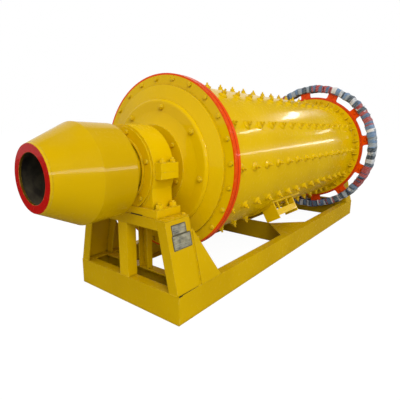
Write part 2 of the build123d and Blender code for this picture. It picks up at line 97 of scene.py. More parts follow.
def linear(colour: str) -> tuple[float, float, float, float]:
    """Turn an sRGB hex colour, six digits after a hash, into linear RGBA."""
    parts = (int(colour[i : i + 2], 16) / 255 for i in (1, 3, 5))
    red, green, blue = (p / 12.92 if p <= 0.04045 else ((p + 0.055) / 1.055) ** 2.4 for p in parts)
    return red, green, blue, 1.0


@dataclass(frozen=True)
class Tree:
    """A node tree and the short ways to add to it. Most take numbers, colours or sockets and return a socket."""

    group: bpy.types.NodeTree

    def add(self, kind: str, inputs: dict[str | int, object] | None = None, **settings: object) -> bpy.types.Node:
        """Add a node with its settings, its values and its links.

        Args:
            kind: the node's type.
            inputs: a value or an output socket for each input, by its name or number.
            settings: the node's own properties.

        Returns:
            The new node.
        """
        node = self.group.nodes.new(kind)
        for key, value in settings.items():
            setattr(node, key, value)
        for key, value in (inputs or {}).items():
            if isinstance(value, Socket):
                self.group.links.new(value, node.inputs[key])
            else:
                node.inputs[key].default_value = value
        return node

    def math(self, operation: str, *values: Fed) -> Socket:
        """Do one sum with its values in order."""
        return self.add("ShaderNodeMath", dict(enumerate(values)), operation=operation).outputs[0]

    def times(self, one: Fed, other: Fed) -> Socket:
        """Multiply two values."""
        return self.math("MULTIPLY", one, other)

    def plus(self, one: Fed, other: Fed) -> Socket:
        """Add two values."""
        return self.math("ADD", one, other)

    def ramp(self, value: Fed, low: float, high: float) -> Socket:
        """Stretch a value's range from low to high over 0 to 1, clamped."""
        return self.add("ShaderNodeMapRange", {"Value": value, "From Min": low, "From Max": high}).outputs[0]

    def mix(self, amount: Fed, below: Fed, above: Fed) -> Socket:
        """Lay a colour over another, by an amount from 0 to 1."""
        return self.add("ShaderNodeMix", {0: amount, 6: below, 7: above}, data_type="RGBA").outputs[2]

    def noise(self, place: Fed, size_mm: float, detail: float = 3.0) -> Socket:
        """Noise of about 0.3 to 0.7, from the size of its blotches and how many finer layers they have."""
        inputs = {"Vector": place, "Scale": 1 / (size_mm * MM), "Detail": detail}
        return self.add("ShaderNodeTexNoise", inputs).outputs["Fac"]

    def bump(self, height: Fed, deep_mm: float, strength: float, normal: Fed | None = None) -> Socket:
        """Unevenness of the surface.

        Args:
            height: the pattern, from 0 to 1.
            deep_mm: how deep the pattern is.
            strength: how much of it shows.
            normal: the surface's direction below it, or none for the mesh's own.

        Returns:
            The surface's new direction.
        """
        inputs = {"Strength": strength, "Distance": deep_mm * MM, "Height": height}
        return self.add("ShaderNodeBump", inputs | ({"Normal": normal} if normal else {})).outputs["Normal"]

    def occlusion(self, distance: float) -> Socket:
        """How open the surface is to what lies within a distance: 1 in the open, 0 in a crack."""
        return self.add("ShaderNodeAmbientOcclusion", {"Distance": distance}, samples=6).outputs["AO"]

    def axis_radius(self, place: Fed) -> Socket:
        """Distance from the mill's axis, in metres."""
        inputs = {0: place, 1: (0, 1, 1), 2: (0, 0, -AXIS_HEIGHT)}
        flat = self.add("ShaderNodeVectorMath", inputs, operation="MULTIPLY_ADD").outputs[0]
        return self.add("ShaderNodeVectorMath", {0: flat}, operation="LENGTH").outputs["Value"]

    def backdrop_ray(self) -> Socket:
        """Whether the camera sees the place, straight or in metal or glass."""
        rays = self.add("ShaderNodeLightPath").outputs
        beyond = self.math("MAXIMUM", rays["Is Glossy Ray"], rays["Is Transmission Ray"])
        return self.math("MAXIMUM", rays["Is Camera Ray"], beyond)

    def surface(self, inputs: dict[str | int, object]) -> None:
        """End a material with its shader, whose sockets get the inputs."""
        shader = self.add("ShaderNodeBsdfPrincipled", inputs)
        self.add("ShaderNodeOutputMaterial", {"Surface": shader.outputs["BSDF"]})

    def xyz(self, x: Fed = 0.0, y: Fed = 0.0, z: Fed = 0.0) -> Socket:
        """A vector of three values."""
        return self.add("ShaderNodeCombineXYZ", {0: x, 1: y, 2: z}).outputs[0]

    def scaled(self, vector: Fed, size: Fed) -> Socket:
        """A vector made longer or shorter."""
        return self.add("ShaderNodeVectorMath", {0: vector, "Scale": size}, operation="SCALE").outputs[0]

    def chance(self, low: Fed, high: Fed, seed: Fed) -> Socket:
        """A random number for each point or copy, the same for the same seed."""
        return self.add("FunctionNodeRandomValue", {2: low, 3: high, "Seed": seed}).outputs[1]

    def copies(self, points: Socket, sample: Socket, rotation: Fed, scale: Fed = (1.0, 1.0, 1.0)) -> Socket:
        """Put a copy of an object's mesh on every point."""
        mesh = self.add("GeometryNodeObjectInfo", {"Object": sample}).outputs["Geometry"]
        inputs = {"Points": points, "Instance": mesh, "Rotation": rotation, "Scale": scale}
        return self.add("GeometryNodeInstanceOnPoints", inputs).outputs[0]

    def turned(self, copies: Socket, rotation: Socket) -> Socket:
        """Turn every copy about its own axes."""
        inputs = {"Instances": copies, "Rotation": rotation, "Local Space": True}
        return self.add("GeometryNodeRotateInstances", inputs).outputs[0]

    def pushed(self, mesh: Socket, lift: Socket) -> Socket:
        """Push a mesh out along its normals, by metres."""
        push = self.scaled(self.add("GeometryNodeInputNormal").outputs[0], lift)
        return self.add("GeometryNodeSetPosition", {"Geometry": mesh, "Offset": push}).outputs[0]


def new_material(name: str) -> tuple[bpy.types.Material, Tree]:
    """Start a material, named for what its finish is, with an empty tree."""
    material = bpy.data.materials.new(name)
    material.use_nodes = True
    material.node_tree.nodes.clear()
    return material, Tree(material.node_tree)


class Skin(Enum):
    """How the steel under the paint was made: the size in mm and the height in mm of its unevenness."""

    PLATE = (260.0, 0.9)
    CASTING = (26.0, 0.7)
    MACHINED = (90.0, 0.12)


@dataclass(frozen=True)
class PaintEdge:
    """A masked line past which another colour was sprayed: a radius, or a place along the mill, in metres."""

    colour: str
    start: float
    end: float
    is_radius: bool = True

    def over(self, tree: Tree, place: Socket, coat: Socket) -> Socket:
        """Spray the second colour over a coat.

        Args:
            tree: the material's tree.
            place: the object coordinates.
            coat: the colour's socket so far.

        Returns:
            The new colour's socket.
        """
        along = tree.add("ShaderNodeSeparateXYZ", {0: place}).outputs["X"]
        wobble = tree.times(tree.noise(place, 40.0), 0.0015)
        reach = tree.plus(tree.axis_radius(place) if self.is_radius else along, wobble)
        return tree.mix(tree.ramp(reach, self.start, self.end), coat, linear(self.colour))


@dataclass(frozen=True)
class Enamel:
    """Gloss alkyd enamel, sprayed on steel.

    To the eye it is a deep clean colour under a wet shine that wavers with the steel below. It is thin and
    pale along sharp edges, darker in corners with painted shade and grime, and its spray leaves soft uneven bands.
    """

    name: str
    colour: str = "#E0B800"
    shade: str = "#D2A800"
    # corner: the colour of grime and of painted shade in corners and creases.
    corner: str = "#4C4404"
    skin: Skin = Skin.PLATE
    edge: str = "#E6CC55"
    dust: float = 0.05
    edges: tuple[PaintEdge, ...] = ()
    slot: Slot = Slot.YELLOW

    def material(self) -> bpy.types.Material:
        """Build the enamel.

        Returns:
            The material.
        """
        material, tree = new_material(self.name)
        spot = tree.add("ShaderNodeTexCoord")
        place = spot.outputs["Object"]
        soft = tree.ramp(tree.noise(place, 620.0, 2.0), 0.36, 0.64)
        coat = tree.mix(tree.times(soft, 0.55), linear(self.colour), linear(self.shade))
        for masked in self.edges:
            coat = masked.over(tree, place, coat)
        round_normal = tree.add("ShaderNodeBevel", {"Radius": 0.006}, samples=4).outputs["Normal"]
        true_normal = tree.add("ShaderNodeNewGeometry").outputs["Normal"]
        along = tree.add("ShaderNodeVectorMath", {0: round_normal, 1: true_normal}, operation="DOT_PRODUCT")
        sharp = tree.ramp(along.outputs["Value"], 0.995, 0.90)
        patchy = tree.ramp(tree.noise(place, 30.0, 4.0), 0.42, 0.62)
        coat = tree.mix(tree.times(tree.times(sharp, patchy), 0.45), coat, linear(self.edge))
        # Painted shade: the occlusion term darkens corners, creases and gaps between parts towards the corner colour;
        # the dirt noise breaks it into patches of grime.
        dirt = tree.ramp(tree.noise(place, 55.0, 4.0), 0.25, 0.6)
        corner = tree.times(tree.ramp(tree.occlusion(0.035), 0.72, 0.2), dirt)
        coat = tree.mix(tree.times(corner, 0.75), coat, linear(self.corner))
        up = tree.add("ShaderNodeSeparateXYZ", {0: spot.outputs["Normal"]}).outputs["Z"]
        settled = tree.times(tree.ramp(up, 0.55, 1.0), tree.ramp(tree.noise(place, 140.0, 6.0), 0.4, 0.7))
        dusty = tree.times(settled, self.dust)
        coat = tree.mix(dusty, coat, linear("#B9AE93"))
        dull = tree.plus(tree.times(corner, 0.35), tree.times(dusty, 0.9))
        rough = tree.plus(tree.math("MULTIPLY_ADD", patchy, 0.08, 0.2), dull)
        size, height = self.skin.value
        wave = tree.bump(tree.noise(place, size, 2.0), height, 1.0, round_normal)
        # Real orange peel is 2 to 4 mm across, too fine to show, so it is drawn 14 mm across.
        peel = tree.bump(tree.noise(place, 14.0, 2.0), 0.12, 0.5, wave)
        tree.surface({"Base Color": coat, "Roughness": rough, "Normal": peel, "Specular IOR Level": 0.04,
                      "Coat Weight": 0.16, "Coat Roughness": 0.05})
        return material


@dataclass(frozen=True)
class BareMetal:
    """Metal without paint, as cast, machined or rolled.

    To the eye it is grey or brown with darker blotches, and it shines only where tools or wear smoothed it.
    """

    name: str
    colour: str
    blotch: str
    roughness: float
    grain_mm: float
    slot: Slot
    metallic: float = 1.0

    def material(self) -> bpy.types.Material:
        """Build the metal.

        Returns:
            The material.
        """
        material, tree = new_material(self.name)
        place = tree.add("ShaderNodeTexCoord").outputs["Object"]
        stain = tree.ramp(tree.noise(place, 90.0, 5.0), 0.38, 0.62)
        colour = tree.mix(stain, linear(self.colour), linear(self.blotch))
        rough = tree.math("MULTIPLY_ADD", stain, 0.22, self.roughness)
        grain = tree.bump(tree.noise(place, self.grain_mm, 4.0), 0.4, 0.7)
        tree.surface({"Base Color": colour, "Roughness": rough, "Metallic": self.metallic, "Normal": grain})
        return material


@dataclass(frozen=True)
class BrushedPlate:
    """Anodised aluminium sheet, brushed along its length.

    To the eye it is a soft silver with fine level streaks, clouded where it was wiped and grey at its rim.
    """

    name: str = "anodised_aluminium_plate"
    colour: str = "#A39D7B"
    smear: str = "#53503C"
    rim: str = "#5A5744"
    slot: Slot = Slot.YELLOW

    def material(self) -> bpy.types.Material:
        """Build the plate's finish.

        Returns:
            The material.
        """
        material, tree = new_material(self.name)
        place = tree.add("ShaderNodeTexCoord").outputs["Object"]
        # Brush lines are 0.2 mm apart, too fine to show, so they are drawn 3 mm apart and 120 mm long.
        streaked = tree.add("ShaderNodeMapping", {"Vector": place, "Scale": (0.025, 1.0, 1.0)}).outputs[0]
        lines = tree.noise(streaked, 3.0, 2.0)
        cloud = tree.ramp(tree.noise(place, 45.0, 4.0), 0.35, 0.66)
        colour = tree.mix(cloud, linear(self.colour), linear(self.smear))
        colour = tree.mix(tree.times(tree.ramp(lines, 0.4, 0.6), 0.25), colour, linear("#E3E4DD"))
        framed = tree.add("ShaderNodeAttribute", attribute_name="plate_rim").outputs["Fac"]
        colour = tree.mix(framed, colour, linear(self.rim))
        rough = tree.math("MULTIPLY_ADD", lines, 0.2, 0.28)
        tree.surface({"Base Color": colour, "Roughness": rough, "Metallic": 0.4, "Normal": tree.bump(lines, 0.15, 0.4)})
        return material


@dataclass(frozen=True)
class WovenStrip:
    """Woven polypropylene tape cloth, the coarse striped kind that packing bags are made of.

    To the eye it is a dull plastic weave in slate blue, off-white and brick red, each turn mostly one of
    them with a narrow stripe of the next along its edge, and darker in its folds with painted shade.
    """

    name: str = "woven_polypropylene_strip"
    bars: tuple[tuple[float, str], ...] = (
        (0.0, "#46648A"), (0.15, "#2A3D4C"), (0.32, "#5E7FA4"), (0.48, "#A62F2B"), (0.64, "#C9CCD0"),
        (0.80, "#8B97A0"), (0.90, "#DAD8D6"), (0.96, "#24405A"))
    slot: Slot = Slot.WRAP

    def material(self) -> bpy.types.Material:
        """Build the cloth; it reads each strip's own tone and its UV map.

        Returns:
            The material.
        """
        material, tree = new_material(self.name)
        spot = tree.add("ShaderNodeTexCoord").outputs
        place = spot["Object"]
        across = tree.add("ShaderNodeSeparateXYZ", {0: spot["UV"]}).outputs["X"]
        tone = tree.add("ShaderNodeAttribute", attribute_name="strip_tone").outputs["Fac"]
        drift = tree.times(tree.noise(place, 90.0), 0.10)
        next_bar = tree.math("GREATER_THAN", across, 0.72)
        spread = tree.math("MULTIPLY_ADD", next_bar, 0.45, tree.plus(tone, drift))
        bars = tree.add("ShaderNodeValToRGB", {"Fac": tree.math("FRACT", spread)})
        bars.color_ramp.interpolation = "CONSTANT"
        for number, (at, colour) in enumerate(self.bars):
            stop = bars.color_ramp.elements[number] if number < 2 else bars.color_ramp.elements.new(at)
            stop.position = at
            stop.color = linear(colour)
        # The tapes are 2.5 mm wide, too fine to show, so the weave is drawn with 9 mm tapes.
        warp = tree.add("ShaderNodeTexWave", {"Vector": place, "Scale": 18.0, "Distortion": 1.2},
                        bands_direction="DIAGONAL").outputs["Fac"]
        smear = tree.ramp(tree.noise(place, 38.0, 4.0), 0.4, 0.66)
        # Painted shade: the occlusion term darkens the cloth's folds and creases towards near black.
        shade = tree.ramp(tree.occlusion(0.045), 0.88, 0.35)
        colour = tree.mix(tree.times(smear, 0.22), bars.outputs["Color"], linear("#8F969E"))
        colour = tree.mix(tree.times(warp, 0.12), colour, linear("#E4E4E2"))
        colour = tree.mix(tree.times(shade, 0.85), colour, linear("#1B1E24"))
        crease = tree.bump(tree.noise(place, 35.0), 4.0, 0.9, tree.bump(warp, 0.8, 0.6))
        tree.surface({"Base Color": colour, "Roughness": 0.6, "Normal": crease, "Sheen Weight": 0.05,
                      "Specular IOR Level": 0.3})
        return material


class Finish(Enum):
    """Every finish of the mill, each naming a slot."""

    PLATE = Enamel("yellow_gloss_enamel_on_plate")
    CASTING = Enamel("yellow_gloss_enamel_on_casting", skin=Skin.CASTING)
    MACHINED = Enamel("yellow_gloss_enamel_on_machined_steel", skin=Skin.MACHINED)
    BANDED = Enamel("yellow_gloss_enamel_with_red_rim", skin=Skin.MACHINED,
                    edges=(PaintEdge("#E24804", 0.6625, 0.6631),))
    GEAR_SIDE = Enamel("yellow_gloss_enamel_with_red_margin", skin=Skin.MACHINED,
                       edges=(PaintEdge("#D43E04", 0.6850, 0.6856),))
    # Painted shade: the feed drum and the base get darker copies of the yellow enamel, for the shade they lie in.
    DRUM = Enamel("yellow_enamel_darkened_as_painted_shade_on_feed_drum", "#CDA600", "#BE9600")
    BASE = Enamel("yellow_enamel_darkened_as_painted_shade_on_base", "#D0A900", "#BF9800", "#3E3804")
    RED = Enamel("orange_red_gloss_enamel", "#EC4E04", "#DC4002", "#6A1E04", Skin.MACHINED, "#EE621E", slot=Slot.RED)
    # The joint's darker red is partly the joint itself and partly painted shade in the seam between the two flanges.
    JOINT = Enamel("darker_red_enamel_in_the_flange_joint_with_painted_shade", "#C42C04", "#B02404", "#8E1C04", Skin.MACHINED, "#C42C04",
                   slot=Slot.RED)
    # The manhole door's enamel is a much darker yellow than the rest.
    DOOR = Enamel("darker_yellow_enamel_on_the_manhole_door", "#8E6A00", "#5E4400", "#2E2404", edge="#B08A10")
    # Mouth ring: the dark brown base colour left on its bore is painted shade, and its pale worn edge colour is partly
    # a painted highlight along the rim.
    MOUTH = Enamel("mouth_ring_enamel_with_painted_shade_in_its_bore", "#54400E", "#3E3008", "#2A1C05", Skin.MACHINED,
                   edges=(PaintEdge("#D0AA10", 0.1500, 0.1506),
                          PaintEdge("#B40A02", -2.3188, -2.3194, is_radius=False)), slot=Slot.RED)
    # Painted shade: thin dark fillings in two open gaps, standing for the shadow in them.
    SHADOW_GAP = BareMetal("painted_shade_in_open_gaps", "#4A3A08", "#241C04", 0.8, 9.0, Slot.YELLOW, 0.0)
    BRONZE = BareMetal("machined_bearing_bronze", "#B58A4A", "#7D5A2A", 0.28, 12.0, Slot.BRONZE)
    LINER = BareMetal("cast_manganese_steel", "#4A4641", "#2A2725", 0.5, 18.0, Slot.LINER)
    INSIDE = BareMetal("mill_scale_with_ore_dust", "#605846", "#38322A", 0.8, 9.0, Slot.LINER, 0.0)
    NAMEPLATE = BrushedPlate()
    CLOTH = WovenStrip()

    @cached_property
    def material(self) -> bpy.types.Material:
        """The finish's material, made when it is first asked for."""
        return self.value.material()


def linked(name: str, data: bpy.types.ID) -> bpy.types.Object:
    """Put an object with its mesh, lamp or camera into the scene."""
    thing = bpy.data.objects.new(name, data)
    bpy.context.scene.collection.objects.link(thing)
    return thing


def loft(shape: bmesh.types.BMesh, levels: Sequence[Sequence[bmesh.types.BMVert]], capped: bool = True) -> None:
    """Join closed rings of vertices with faces.

    Args:
        shape: the mesh.
        levels: the rings, in order.
        capped: whether the first and the last ring are filled.
    """
    for low, high in zip(levels, levels[1:]):
        for i in range(len(low)):
            j = (i + 1) % len(low)
            shape.faces.new((low[i], low[j], high[j], high[i]))
    if capped:
        shape.faces.new(tuple(reversed(levels[0])))
        shape.faces.new(levels[-1])


def revolved(name: str, profile: Profile, steps: int = 144) -> bpy.types.Object:
    """Turn a closed half section round the mill's axis.

    Args:
        name: the object's name.
        profile: the section's corners as places along the mill and radii, in mm.
        steps: how many facets go round.

    Returns:
        The object, with its faces outward.
    """
    shape = bmesh.new()
    turns = [2 * math.pi * number / steps for number in range(steps)]
    rings = [[shape.verts.new((x * MM, -r * MM * math.sin(a), AXIS_HEIGHT + r * MM * math.cos(a))) for x, r in profile]
             for a in turns]
    loft(shape, [*rings, rings[0]], capped=False)
    bmesh.ops.recalc_face_normals(shape, faces=shape.faces)
    return mesh_object(name, shape)


def mesh_object(name: str, shape: bmesh.types.BMesh, smooth_below: float = 35.0) -> bpy.types.Object:
    """Make a mesh object at the origin, smooth except across sharp edges.

    Args:
        name: the object's name.
        shape: its mesh, which is freed.
        smooth_below: the sharpest angle in degrees that is shaded smooth.

    Returns:
        The object.
    """
    for edge in shape.edges:
        edge.smooth = len(edge.link_faces) == 2 and edge.calc_face_angle(0.0) < math.radians(smooth_below)
    for face in shape.faces:
        face.smooth = True
    mesh = bpy.data.meshes.new(name)
    shape.to_mesh(mesh)
    shape.free()
    return linked(name, mesh)


def finish_piece(piece: bpy.types.Object, body: Body, finish: Finish) -> bpy.types.Object:
    """Give a piece its material and its body.

    Args:
        piece: the mesh object.
        body: what it rides on.
        finish: what its surface is.

    Returns:
        The finished piece.
    """
    piece.data.materials.clear()
    piece.data.materials.append(finish.material)
    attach(piece, body.value)
    log.info("%s: %d faces on %s", piece.name, len(piece.data.polygons), body.value)
    return piece


class Recipe:
    """A geometry tree with a named input for each of its values, which runs once and leaves a plain mesh."""

    kinds: tuple[tuple[type, str], ...] = (
        (bpy.types.Object, "Object"), (bpy.types.Material, "Material"), (Vector, "Vector"), (int, "Int"),
        (float, "Float"))

    def __init__(self, name: str, finish: Finish, values: dict[str, object]) -> None:
        """Start the tree.

        Args:
            name: what the tree makes.
            finish: what its surface is.
            values: each input's value by its name.
        """
        self.values = values | {"Finish": finish.material}
        group = bpy.data.node_groups.new(name, "GeometryNodeTree")
        group.interface.new_socket("Geometry", in_out="INPUT", socket_type="NodeSocketGeometry")
        for label, value in self.values.items():
            kind = next(word for sort, word in self.kinds if isinstance(value, sort))
            group.interface.new_socket(label, in_out="INPUT", socket_type=f"NodeSocket{kind}")
        group.interface.new_socket("Geometry", in_out="OUTPUT", socket_type="NodeSocketGeometry")
        self.tree = Tree(group)
        self.given = self.tree.add("NodeGroupInput").outputs

    def run(self, made: Socket, name: str, start: bpy.types.Mesh | None = None) -> bpy.types.Object:
        """End the tree, run it, keep its result and clear away what it copied.

        Args:
            made: the socket with its geometry.
            name: the new object's name.
            start: the mesh that the tree works on, or none if it makes everything.

        Returns:
            The object at the origin.
        """
        real = self.tree.add("GeometryNodeRealizeInstances", {0: made}).outputs[0]
        inputs = {"Geometry": real, "Material": self.given["Finish"]}
        coated = self.tree.add("GeometryNodeSetMaterial", inputs).outputs[0]
        self.tree.add("NodeGroupOutput", {0: coated})
        carrier = linked(f"{name}_start", start or bpy.data.meshes.new(f"{name}_start"))
        group = self.tree.group
        modifier = carrier.modifiers.new(group.name, "NODES")
        modifier.node_group = group
        for item in group.interface.items_tree:
            if item.in_out == "INPUT" and item.name in self.values:
                modifier[item.identifier] = self.values[item.name]
        graph = bpy.context.evaluated_depsgraph_get()
        mesh = bpy.data.meshes.new_from_object(carrier.evaluated_get(graph), depsgraph=graph)
        mesh.name = name
        for used in (carrier, *(value for value in self.values.values() if isinstance(value, bpy.types.Object))):
            bpy.data.objects.remove(used)
        return linked(name, mesh)


def line_mesh(name: str, points: Sequence[Point], edges: Sequence[tuple[int, int]] = ()) -> bpy.types.Mesh:
    """Make a mesh of points in mm and the lines between them, for a tree to work on."""
    mesh = bpy.data.meshes.new(name)
    mesh.from_pydata([tuple(v * MM for v in point) for point in points], edges, [])
    return mesh


@dataclass(frozen=True)
class Stack:
    """One turned or forged solid of a fastener, built upward from its seat: its rings' radii and heights in mm."""

    sides: int
    rings: tuple[tuple[float, float], ...]

    def add_to(self, shape: bmesh.types.BMesh) -> None:
        """Add the solid to a mesh, its rings from the bottom up."""
        turns = [2 * math.pi * side / self.sides for side in range(self.sides)]
        loft(shape, [[shape.verts.new((r * MM * math.cos(a), r * MM * math.sin(a), height * MM)) for a in turns]
                     for r, height in self.rings])


@dataclass(frozen=True)
class Fastener:
    """A kind of bolt, nut or screw, made of turned and forged solids."""

    name: str
    solids: tuple[Stack, ...]

    def make(self, facing: Facing) -> bpy.types.Object:
        """Build one, standing at the origin.

        Args:
            facing: where its head points.

        Returns:
            The object to copy.
        """
        shape = bmesh.new()
        for solid in self.solids:
            solid.add_to(shape)
        bmesh.ops.transform(shape, matrix=facing.turn(), verts=shape.verts)
        return mesh_object(self.name, shape)


def hexagon(radius: float, foot: float, height: float) -> Stack:
    """A chamfered hexagon from a foot height.

    Args:
        radius: half its width across corners, in mm.
        foot: where it starts, in mm.
        height: how tall it is, in mm.

    Returns:
        The solid.
    """
    top = foot + height
    return Stack(6, ((radius, foot), (radius, top - 0.18 * height), (radius * 0.86, top)))


TRUNNION_BOLT = Fastener("trunnion_bolt", (
    Stack(14, ((24.0, 0.0), (24.0, 3.0), (22.5, 3.5))), hexagon(20.0, 3.5, 13.0),
    Stack(8, ((9.0, 16.5), (9.0, 21.0), (7.5, 22.5)))))
NUT_AND_STUD = Fastener("nut_and_stud", (
    Stack(14, ((22.5, 0.0), (22.5, 3.0), (21.0, 3.5))), hexagon(19.5, 3.5, 17.0),
    Stack(10, ((10.0, 20.5), (10.0, 29.0), (8.5, 31.0)))))
FLANGE_BOLT = Fastener("flange_bolt", (Stack(14, ((19.0, 0.0), (19.0, 2.0), (18.0, 2.5))), hexagon(16.0, 2.5, 9.0)))
LINER_BOLT = Fastener("liner_bolt", (
    Stack(14, ((37.5, -1.5), (37.0, 2.5), (29.0, 9.5), (22.5, 16.5))), hexagon(19.5, 16.5, 18.5),
    Stack(8, ((8.5, 35.0), (8.5, 50.0), (6.5, 53.0)))))
FOOT_BOLT = Fastener("foot_bolt", (
    Stack(14, ((31.0, 0.0), (31.0, 4.0), (29.0, 5.0))), hexagon(27.0, 5.0, 26.0),
    Stack(10, ((14.0, 31.0), (14.0, 38.0), (11.0, 41.0)))))


@dataclass
class Rows:
    """Fasteners in rows along the mill and rings round its axis, set out by Geometry Nodes.

    Lengths are in mm and angles in degrees, from the top towards -Y. Those near the gap's station, in the column
    at its angle, are left out. Each is turned about its own axis by up to the spin.
    """

    name: str
    fastener: Fastener
    facing: Facing
    radius: float
    station: float
    count: int
    first_angle: float
    step_angle: float
    rows: int = 1
    row_pitch: float = 0.0
    gap_at: float = 0.0
    gap_reach: float = -1.0
    gap_angle: float = 0.0
    spin: float = 60.0
    body: Body = Body.DRUM
    finish: Finish = Finish.MACHINED

    def values(self) -> dict[str, object]:
        """The tree's inputs by name, in metres and radians."""
        return {
            "Fastener": self.fastener.make(self.facing),
            "Count": self.count, "Rows": self.rows, "Row Pitch": self.row_pitch * MM, "Radius": self.radius * MM,
            "Station": self.station * MM, "First Angle": math.radians(self.first_angle),
            "Step Angle": math.radians(self.step_angle), "Spin Axis": self.facing.spin_axis(),
            "Gap Station": self.gap_at * MM, "Gap Reach": self.gap_reach * MM,
            "Gap Angle": math.radians(self.gap_angle), "Spin": math.radians(self.spin), "Seed": 7,
        }

    def build(self) -> bpy.types.Object:
        """Set the fasteners out and return them as one finished piece."""
        recipe = Recipe("fasteners_round_the_axis", self.finish, self.values())
        tree, given = recipe.tree, recipe.given
        index = tree.add("GeometryNodeInputIndex").outputs[0]
        row = tree.math("FLOOR", tree.math("DIVIDE", tree.plus(index, 0.5), given["Count"]))
        column = tree.math("SUBTRACT", index, tree.times(row, given["Count"]))
        angle = tree.math("MULTIPLY_ADD", column, given["Step Angle"], given["First Angle"])
        along = tree.math("MULTIPLY_ADD", row, given["Row Pitch"], given["Station"])
        side = tree.times(tree.times(tree.math("SINE", angle), given["Radius"]), -1)
        high = tree.math("MULTIPLY_ADD", tree.math("COSINE", angle), given["Radius"], AXIS_HEIGHT)
        total = tree.times(given["Count"], given["Rows"])
        points = tree.add("GeometryNodePoints", {"Count": total, "Position": tree.xyz(along, side, high)})
        marked = tree.add("GeometryNodeStoreNamedAttribute",
                          {"Geometry": points.outputs[0], "Name": "turn", "Value": angle}, domain="POINT")
        off = tree.math("ABSOLUTE", tree.math("SUBTRACT", along, given["Gap Station"]))
        off_angle = tree.math("ABSOLUTE", tree.math("SUBTRACT", angle, given["Gap Angle"]))
        same_column = tree.math("LESS_THAN", off_angle, 0.05)
        in_gap = tree.times(tree.math("LESS_THAN", off, given["Gap Reach"]), same_column)
        kept = tree.add("GeometryNodeDeleteGeometry", {"Geometry": marked.outputs[0], "Selection": in_gap})
        stored = tree.add("GeometryNodeInputNamedAttribute", {"Name": "turn"}).outputs[0]
        copies = tree.copies(kept.outputs[0], given["Fastener"], tree.xyz(stored))
        spin = tree.scaled(given["Spin Axis"], tree.chance(0.0, given["Spin"], given["Seed"]))
        return finish_piece(recipe.run(tree.turned(copies, spin), self.name), self.body, self.finish)


@dataclass
class FastenersAt:
    """Fasteners that stand up at given places, set out by Geometry Nodes."""

    name: str
    fastener: Fastener
    places: tuple[Point, ...]

    def build(self) -> bpy.types.Object:
        """Set the fasteners out and return them as one finished piece."""
        recipe = Recipe("fasteners_at_places", Finish.MACHINED, {"Fastener": self.fastener.make(Facing.UP), "Seed": 3})
        tree, given = recipe.tree, recipe.given
        points = tree.add("GeometryNodeMeshToPoints", {"Mesh": given["Geometry"]}).outputs[0]
        spin = tree.xyz(z=tree.chance(0.0, math.pi / 3, given["Seed"]))
        copies = tree.copies(points, given["Fastener"], spin)
        piece = recipe.run(copies, self.name, line_mesh(f"{self.name}_places", self.places))
        return finish_piece(piece, Body.BASE, Finish.MACHINED)


@dataclass
class WeldBead:
    """A weld run along a line, its ripples made by Geometry Nodes. Lengths in mm."""

    name: str
    runs: tuple[Run, ...]
    radius: float = 5.0
    body: Body = Body.BASE
    ripple_length: float = 18.0
    ripple_height: float = 4.0

    def build(self) -> bpy.types.Object:
        """Sweep the bead along its runs and return the finished piece."""
        points, edges = [], []
        for run in self.runs:
            start = len(points)
            points += run
            edges += [(i, i + 1) for i in range(start, len(points) - 1)]
        recipe = Recipe("weld_bead", Finish.PLATE, {
            "Bead Radius": self.radius * MM, "Ripple Length": self.ripple_length * MM,
            "Ripple Height": self.ripple_height * MM})
        tree, given = recipe.tree, recipe.given
        line = tree.add("GeometryNodeMeshToCurve", {"Mesh": given["Geometry"]}).outputs[0]
        even = tree.add("GeometryNodeResampleCurve", {"Curve": line, "Length": given["Ripple Length"]}, mode="LENGTH")
        section = tree.add("GeometryNodeCurvePrimitiveCircle", {"Resolution": 6, "Radius": given["Bead Radius"]})
        swept = tree.add("GeometryNodeCurveToMesh", {
            "Curve": even.outputs[0], "Profile Curve": section.outputs[0], "Fill Caps": True}).outputs[0]
        ripple = tree.add("ShaderNodeTexNoise", {"Scale": 90.0, "Detail": 1.0}).outputs["Fac"]
        lift = tree.times(tree.math("SUBTRACT", ripple, 0.5), given["Ripple Height"])
        piece = recipe.run(tree.pushed(swept, lift), self.name, line_mesh(f"{self.name}_runs", points, edges))
        return finish_piece(piece, self.body, Finish.PLATE)


def circle_run(station: float, radius: float, start: float = 0.0, end: float = 360.0) -> Run:
    """Points of an arc round the mill's axis.

    Args:
        station: its place along the mill, in mm.
        radius: its radius, in mm.
        start: its first angle in degrees, from the top towards -Y.
        end: its last angle.

    Returns:
        The points, in mm.
    """
    steps = max(2, round((end - start) / 4))
    turns = (math.radians(start + (end - start) * step / steps) for step in range(steps + 1))
    return tuple((station, -radius * math.sin(turn), AXIS_HEIGHT / MM + radius * math.cos(turn)) for turn in turns)


@dataclass
class LooseEnd:
    """A tape end that sticks out of the winding. Its angle is in degrees from the top towards -Y, the rest in mm."""

    angle: float
    station: float
    length: float
    width: float
    curl: float
    root: float = 4.0
    thickness: float = 1.2
    taper: float = 0.45
    steps: int = 5

    def rings(self, radius: float) -> list[list[Vector]]:
        """Set out its rings of four corners.

        Args:
            radius: how far from the axis the winding reaches.

        Returns:
            The corners in metres, from the root to the tip.
        """
        turn = Matrix.Rotation(math.radians(self.angle), 3, "X")
        rings = []
        for step in range(self.steps + 1):
            share = step / self.steps
            bow = self.curl * math.sin(math.pi * 0.8 * share)
            half = self.width / 2 * (1 - self.taper * share)
            reach = radius - self.root + self.length * share
            corners = ((-half, 0.0), (-half, self.thickness), (half, self.thickness), (half, 0.0))
            rings.append([(turn @ Vector((self.station + side, bow + thick, reach))) * MM + Vector((0, 0, AXIS_HEIGHT))
                          for side, thick in corners])
        return rings


